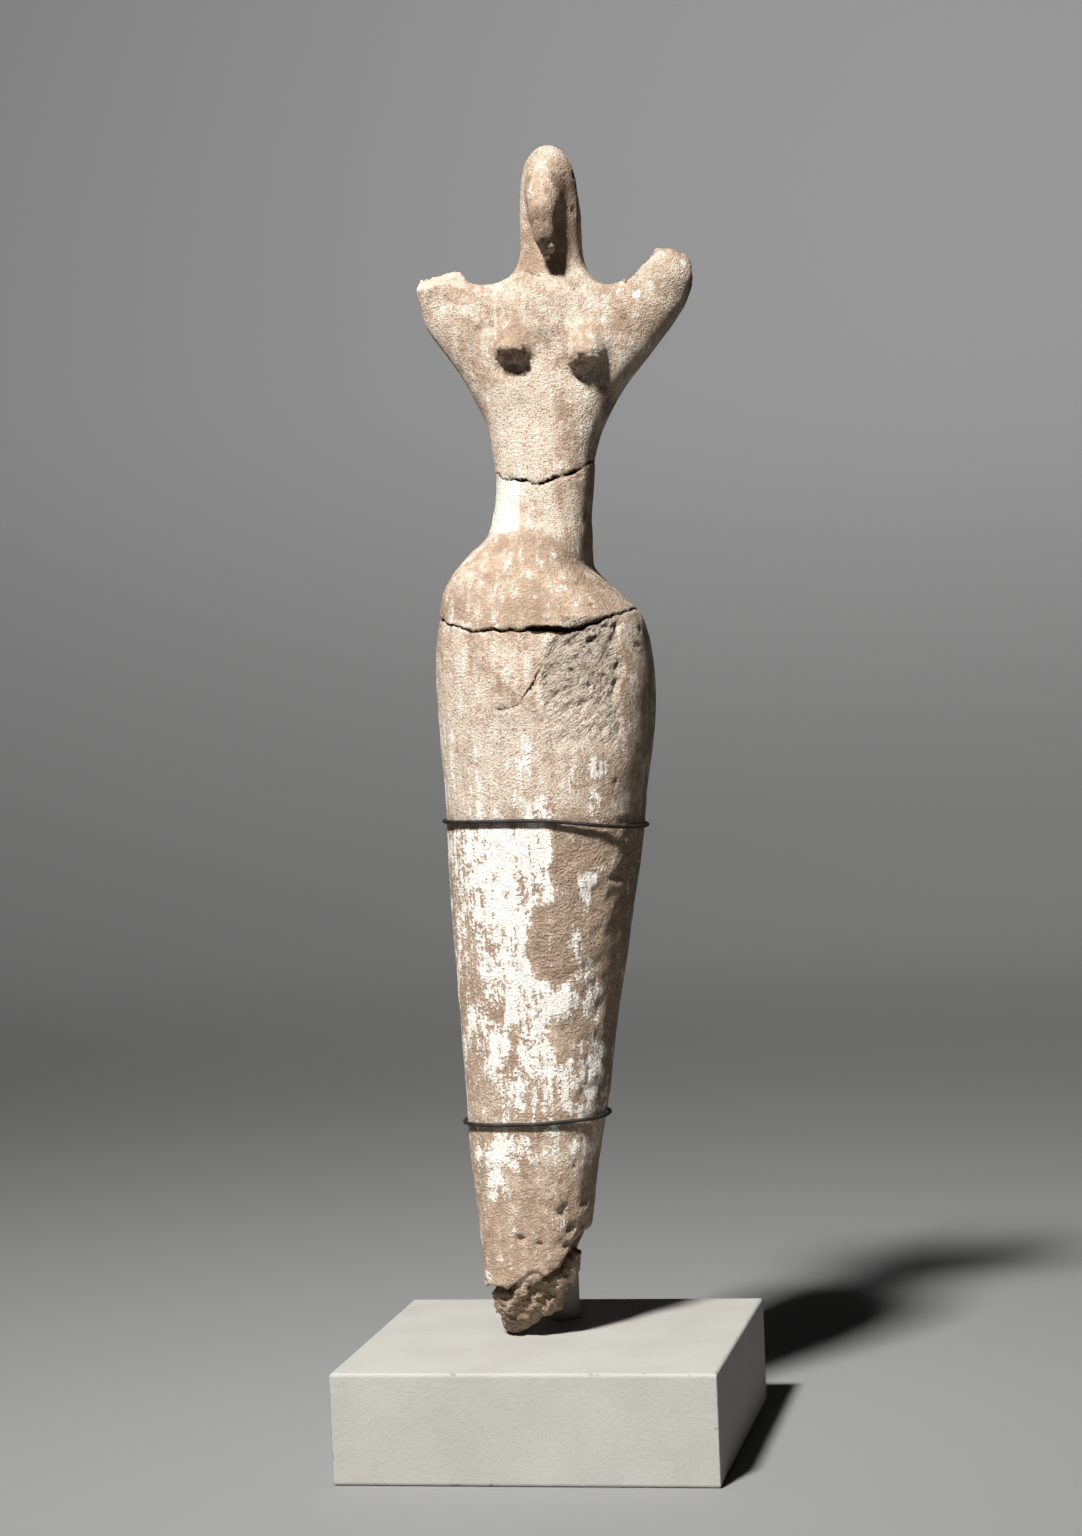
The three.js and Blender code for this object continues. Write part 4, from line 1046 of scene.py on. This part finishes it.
class StageSettings(bpy.types.PropertyGroup):
    floor: tint("Floor", "Tone of the pale floor", (0.22, 0.22, 0.216))
    backdrop: tint("Backdrop", "Tone of the backdrop's upper part", (0.36, 0.36, 0.36))
    glow: tint("Backdrop glow", "Faint light of the backdrop's own, which is seen and lights nothing", (0.075,) * 3)
    key_power: bpy.props.FloatProperty(name="Key light", description="Power of the main light", default=6.6,
                                       min=0.0, unit="POWER")
    back_power: bpy.props.FloatProperty(name="Back light", description="Power of the soft light behind",
                                        default=12.0, min=0.0, unit="POWER")
    ambient: bpy.props.FloatProperty(name="Ambient", description="Strength of the light from all round",
                                     default=0.008, min=0.0)


# ---- Operators

class FIGURINE_OT_make_figurine(bpy.types.Operator):
    """Makes the clay figurine with its cracks, worn patch, breaks and remains of paint"""
    bl_idname = "figurine.make_figurine"
    bl_label = "Make figurine"

    def execute(self, context):
        look = context.scene.figurine_settings
        clay = WornClay(look)
        clay.smooth_by_hand()
        clay.open_joints()
        clay.lift_flake()
        clay.wear_thigh()
        clay.bare_legs()
        clay.crumble_foot()
        clay.break_tips()
        clay.break_stumps()
        clay.wear_down()
        piece = add_mesh("clay_figurine", clay.p * MM + np.array([0, 0, FIGURE_FOOT]), clay.quads)
        for name, values in clay.masks().items():
            add_mask(piece, name, values)
        piece.data.materials.append(clay_material(look))
        bring_out(piece, "figurine", slot="painted_clay")
        return {"FINISHED"}


def wire_loop(share, heights, stand, radius, rod_middle, rod_radius):
    """A taut loop round the legs and the dowel at one height, through heights given by x."""
    tall = bpy.context.scene.figurine_settings.height / MM
    left, right, _, _ = section_at(np.array(share))
    middle = float(left + right) / 2 * tall
    xs, zs = np.array(heights).T
    angle = np.linspace(0, 2 * math.pi, LOOP_ANGLES, endpoint=False)
    inside, outside = np.ones(LOOP_ANGLES), np.full(LOOP_ANGLES, tall * 0.16)
    for _ in range(30):
        half = (inside + outside) / 2
        x, y = middle + half * np.cos(angle), half * np.sin(angle)
        q = np.stack([x, y, np.interp(x, xs, zs)]) / tall
        h = 1e-4
        f = figure_field(*q)
        gx = (figure_field(q[0] + h, q[1], q[2]) - f) / h
        gy = (figure_field(q[0], q[1] + h, q[2]) - f) / h
        clear = f * tall / np.hypot(gx, gy) - stand - radius > 0
        outside, inside = np.where(clear, half, outside), np.where(clear, inside, half)
    points = [(middle + r * math.cos(a), r * math.sin(a)) for r, a in zip(outside, angle)]
    reach = rod_radius + stand + radius
    points += [(rod_middle[0] + reach * math.cos(a), rod_middle[1] + reach * math.sin(a)) for a in angle]
    points.sort()

    def chain(corners):
        """The outward side of a row of corners, sorted by x."""
        out = []
        for c in corners:
            while len(out) > 1 and ((out[-1][0] - out[-2][0]) * (c[1] - out[-2][1])
                                    - (out[-1][1] - out[-2][1]) * (c[0] - out[-2][0])) <= 1e-7:
                out.pop()
            out.append(c)
        return out[:-1]

    ring = np.array(chain(points) + chain(points[::-1]))
    ring = np.vstack([ring, ring[:1]])
    run = np.concatenate([[0], np.cumsum(np.hypot(*np.diff(ring, axis=0).T))])
    at = np.linspace(0, run[-1], LOOP_POINTS, endpoint=False)
    x, y = np.interp(at, run, ring[:, 0]), np.interp(at, run, ring[:, 1])
    z = np.interp(x, xs, zs)
    kernel = np.ones(9) / 9
    z = np.convolve(np.concatenate([z[-4:], z, z[:4]]), kernel, "valid")
    return np.stack([x, y, z], 1)


class FIGURINE_OT_tie_wires(bpy.types.Operator):
    """Makes the two iron wires that tie the legs to the dowel, each with its twisted ends behind"""
    bl_idname = "figurine.tie_wires"
    bl_label = "Tie wires"

    def execute(self, context):
        look = context.scene.stand_settings
        low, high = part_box("support_rod")
        rod = ((low.x + high.x) / 2 / MM, (low.y + high.y) / 2 / MM)
        iron = wire_material(look)
        radius = look.wire_radius / MM
        for node, (share, heights) in WIRE_RUNS.items():
            loop = wire_loop(share, heights, look.wire_stand / MM, radius, rod, look.rod_radius / MM)
            points, faces = tube(loop, radius, 10, True)
            back = loop[np.argmax(loop[:, 1])]
            pieces, walls = [points], list(faces)
            for phase in (0.0, math.pi):
                turn = np.linspace(0, 1, 46)
                coil = phase + turn * 2 * math.pi * TWIST_TURNS
                path = np.stack([back[0] + radius * np.cos(coil), back[1] + radius * 0.7 + radius * np.sin(coil) * 0.9,
                                 back[2] + TWIST_START - turn * TWIST_LENGTH], 1)
                more, extra = tube(path, radius * 0.92, 8, False)
                start = sum(len(q) for q in pieces)
                walls += [tuple(i + start for i in face) for face in extra]
                pieces.append(more)
            piece = add_mesh(node + "_loop", np.vstack(pieces) * MM + np.array([0, 0, FIGURE_FOOT]), walls)
            piece.data.materials.append(iron)
            bring_out(piece, node, slot="tie_wire")
        return {"FINISHED"}


class FIGURINE_OT_make_dowel(bpy.types.Operator):
    """Makes the painted dowel that stands in the block behind the legs"""
    bl_idname = "figurine.make_dowel"
    bl_label = "Make dowel"

    def execute(self, context):
        look = context.scene.stand_settings
        low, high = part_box("support_rod")
        r, c = look.rod_radius, look.rod_chamfer
        tall = high.z - low.z
        heights = list(np.linspace(0.0008, tall - c * 1.4, 60))
        profile = [(0, 0), (r * 0.9, 0)] + [(r, h) for h in heights]
        profile += [(r * 0.985, tall - c), (r - c * 0.6, tall - c * 0.35), (r - c, tall - c * 0.12), (r * 0.5, tall),
                    (0, tall)]
        points, faces = turned(profile, 64)
        piece = add_mesh("painted_dowel", points, faces)
        co = np.array([v.co for v in piece.data.vertices])
        uneven = value_noise(co * np.array([1, 1, 0.15]) / MM, 3.0, 7) * 0.03 * MM
        spread = np.hypot(co[:, 0], co[:, 1])
        keep = np.clip((r - 0.03 * MM + uneven) / np.maximum(spread, 1e-9), 0, 1)
        side = (spread > r * 0.95)[:, None]
        co = np.where(side, co * np.stack([keep, keep, np.ones(len(co))], 1), co)
        co += np.array([(low.x + high.x) / 2, (low.y + high.y) / 2, low.z])
        piece.data.vertices.foreach_set("co", co.ravel())
        piece.data.update()
        shade = tuple(0.88 * v for v in look.rod_paint)
        box = (low - Vector((0.1, 0.1, 0.1)), high + Vector((0.1, 0.1, 0)))
        piece.data.materials.append(painted_wood_material("dowel paint", look.rod_paint, shade, look.chip, box))
        bring_out(piece, "support_rod", slot="rod_paint")
        return {"FINISHED"}


class FIGURINE_OT_make_block(bpy.types.Operator):
    """Paints the small block from the solids, with worn, nicked edges; the solid holds the hole for the dowel"""
    bl_idname = "figurine.make_block"
    bl_label = "Make block"

    def execute(self, context):
        look = context.scene.stand_settings
        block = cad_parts["mount_block"]
        block.data.materials.clear()
        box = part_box("mount_block")
        block.data.materials.append(painted_wood_material("block paint", look.block_paint, look.block_shade,
                                                          look.chip, (box[0], box[1])))
        return {"FINISHED"}


class FIGURINE_OT_set_stage(bpy.types.Operator):
    """Makes the pale floor and backdrop, the soft studio lights and the camera"""
    bl_idname = "figurine.set_stage"
    bl_label = "Set stage"

    def execute(self, context):
        look = context.scene.stage_settings
        scene = context.scene
        rows = [(0.5, 0.0), (1.0, 0.0), (WALL_FOOT, 0.0)]
        rows += [(WALL_FOOT + WALL_CURVE * math.sin(a), WALL_CURVE * (1 - math.cos(a)))
                 for a in np.linspace(0.08, 1.45, 16)]
        rows += [WALL_TOP]
        points, faces = [(0, 0, 0)], []
        for r, z in rows:
            points += [(r * math.cos(a), r * math.sin(a), z)
                       for a in np.linspace(0, 2 * math.pi, WALL_SIDES, False)]
        for i in range(WALL_SIDES):
            j = (i + 1) % WALL_SIDES
            faces.append((0, 1 + i, 1 + j))
            for k in range(len(rows) - 1):
                a, b = 1 + k * WALL_SIDES, 1 + (k + 1) * WALL_SIDES
                faces.append((a + i, b + i, b + j, a + j))
        floor = add_mesh("studio_floor", points, faces)
        material, s, surface = new_material("studio floor")
        place = s.node("ShaderNodeTexCoord").outputs["Object"]
        height = s.node("ShaderNodeSeparateXYZ", None, i0=place).outputs[2]
        tone = s.mix(s.ramp(height, 0.0, 0.5), look.floor, look.backdrop)
        s.feed(surface.inputs["Base Color"], tone)
        flat = s.vector("MULTIPLY", place, (1.0, 1.0, 0.0))
        away = s.node("ShaderNodeVectorMath", {"operation": "LENGTH"}, i0=flat).outputs["Value"]
        glow = s.times(s.ramp(away, 0.5, 1.7), s.node("ShaderNodeLightPath").outputs["Is Camera Ray"])
        s.feed(surface.inputs["Emission Color"], s.mix(glow, (0, 0, 0), look.glow))
        surface.inputs["Emission Strength"].default_value = 1.0
        surface.inputs["Roughness"].default_value = 0.95
        surface.inputs["Specular IOR Level"].default_value = 0.1
        floor.data.materials.append(material)

        def area(name, power, size, spread, place, aim):
            lamp = bpy.data.lights.new(name, "AREA")
            lamp.energy, lamp.size, lamp.spread = power, size, math.radians(spread)
            holder = bpy.data.objects.new(name, lamp)
            holder.location = place
            holder.rotation_euler = (Vector(aim) - Vector(place)).to_track_quat("-Z", "Y").to_euler()
            scene.collection.objects.link(holder)

        area("key_light", look.key_power, *KEY_LIGHT)
        area("back_light", look.back_power, *BACK_LIGHT)
        world = scene.world or bpy.data.worlds.new("studio")
        scene.world = world
        world.use_nodes = True
        back = world.node_tree.nodes.get("Background") or world.node_tree.nodes.new("ShaderNodeBackground")
        back.inputs[0].default_value = (1, 1, 1, 1)
        back.inputs[1].default_value = look.ambient
        scene.view_settings.view_transform = "Standard"

        level = math.cos(VIEW_TIP)
        behind = Vector((math.sin(VIEW_TURN) * level, -math.cos(VIEW_TURN) * level, math.sin(VIEW_TIP)))
        right = Vector((math.cos(VIEW_TURN), math.sin(VIEW_TURN), 0))
        up = behind.cross(right)
        across = math.cos(VIEW_LEAN) * right + math.sin(VIEW_LEAN) * up
        above = -math.sin(VIEW_LEAN) * right + math.cos(VIEW_LEAN) * up
        lens = bpy.data.cameras.new("view")
        lens.sensor_width = SENSOR
        lens.lens = VIEW_FOCAL / VIEW_FRAME * SENSOR
        lens.clip_start, lens.clip_end = 0.01, 20.0
        camera = bpy.data.objects.new("view", lens)
        turned_to = Matrix((across, above, behind)).transposed().to_4x4()
        turned_to.translation = Vector(VIEW_PLACE) + Vector((0, 0, BLOCK_TOP))
        camera.matrix_world = turned_to
        scene.collection.objects.link(camera)
        scene.camera = camera
        return {"FINISHED"}


class FIGURINE_PT_panel(bpy.types.Panel):
    bl_label = "Figurine"
    bl_idname = "FIGURINE_PT_panel"
    bl_space_type = "VIEW_3D"
    bl_region_type = "UI"
    bl_category = "Figurine"

    def draw(self, context):
        for operator in MAKERS:
            self.layout.operator(operator)
        for name in SETTINGS:
            group = getattr(context.scene, name)
            box = self.layout.box()
            for key in group.bl_rna.properties.keys():
                if key not in ("rna_type", "name"):
                    box.prop(group, key)


MAKERS = ("figurine.make_figurine", "figurine.tie_wires", "figurine.make_dowel", "figurine.make_block",
          "figurine.set_stage")
SETTINGS = {"figurine_settings": FigurineSettings, "stand_settings": StandSettings, "stage_settings": StageSettings}
CLASSES = (*SETTINGS.values(), FIGURINE_OT_make_figurine, FIGURINE_OT_tie_wires, FIGURINE_OT_make_dowel,
           FIGURINE_OT_make_block, FIGURINE_OT_set_stage, FIGURINE_PT_panel)


def register():
    for item in CLASSES:
        bpy.utils.register_class(item)
    for name, group in SETTINGS.items():
        setattr(bpy.types.Scene, name, bpy.props.PointerProperty(type=group))


def unregister():
    for name in SETTINGS:
        delattr(bpy.types.Scene, name)
    for item in reversed(CLASSES):
        bpy.utils.unregister_class(item)


def main():
    register()
    bpy.ops.figurine.make_figurine()
    bpy.ops.figurine.tie_wires()
    bpy.ops.figurine.make_dowel()
    bpy.ops.figurine.make_block()
    bpy.ops.figurine.set_stage()
    bpy.context.view_layer.update()


if __name__ == "__main__":
    main()
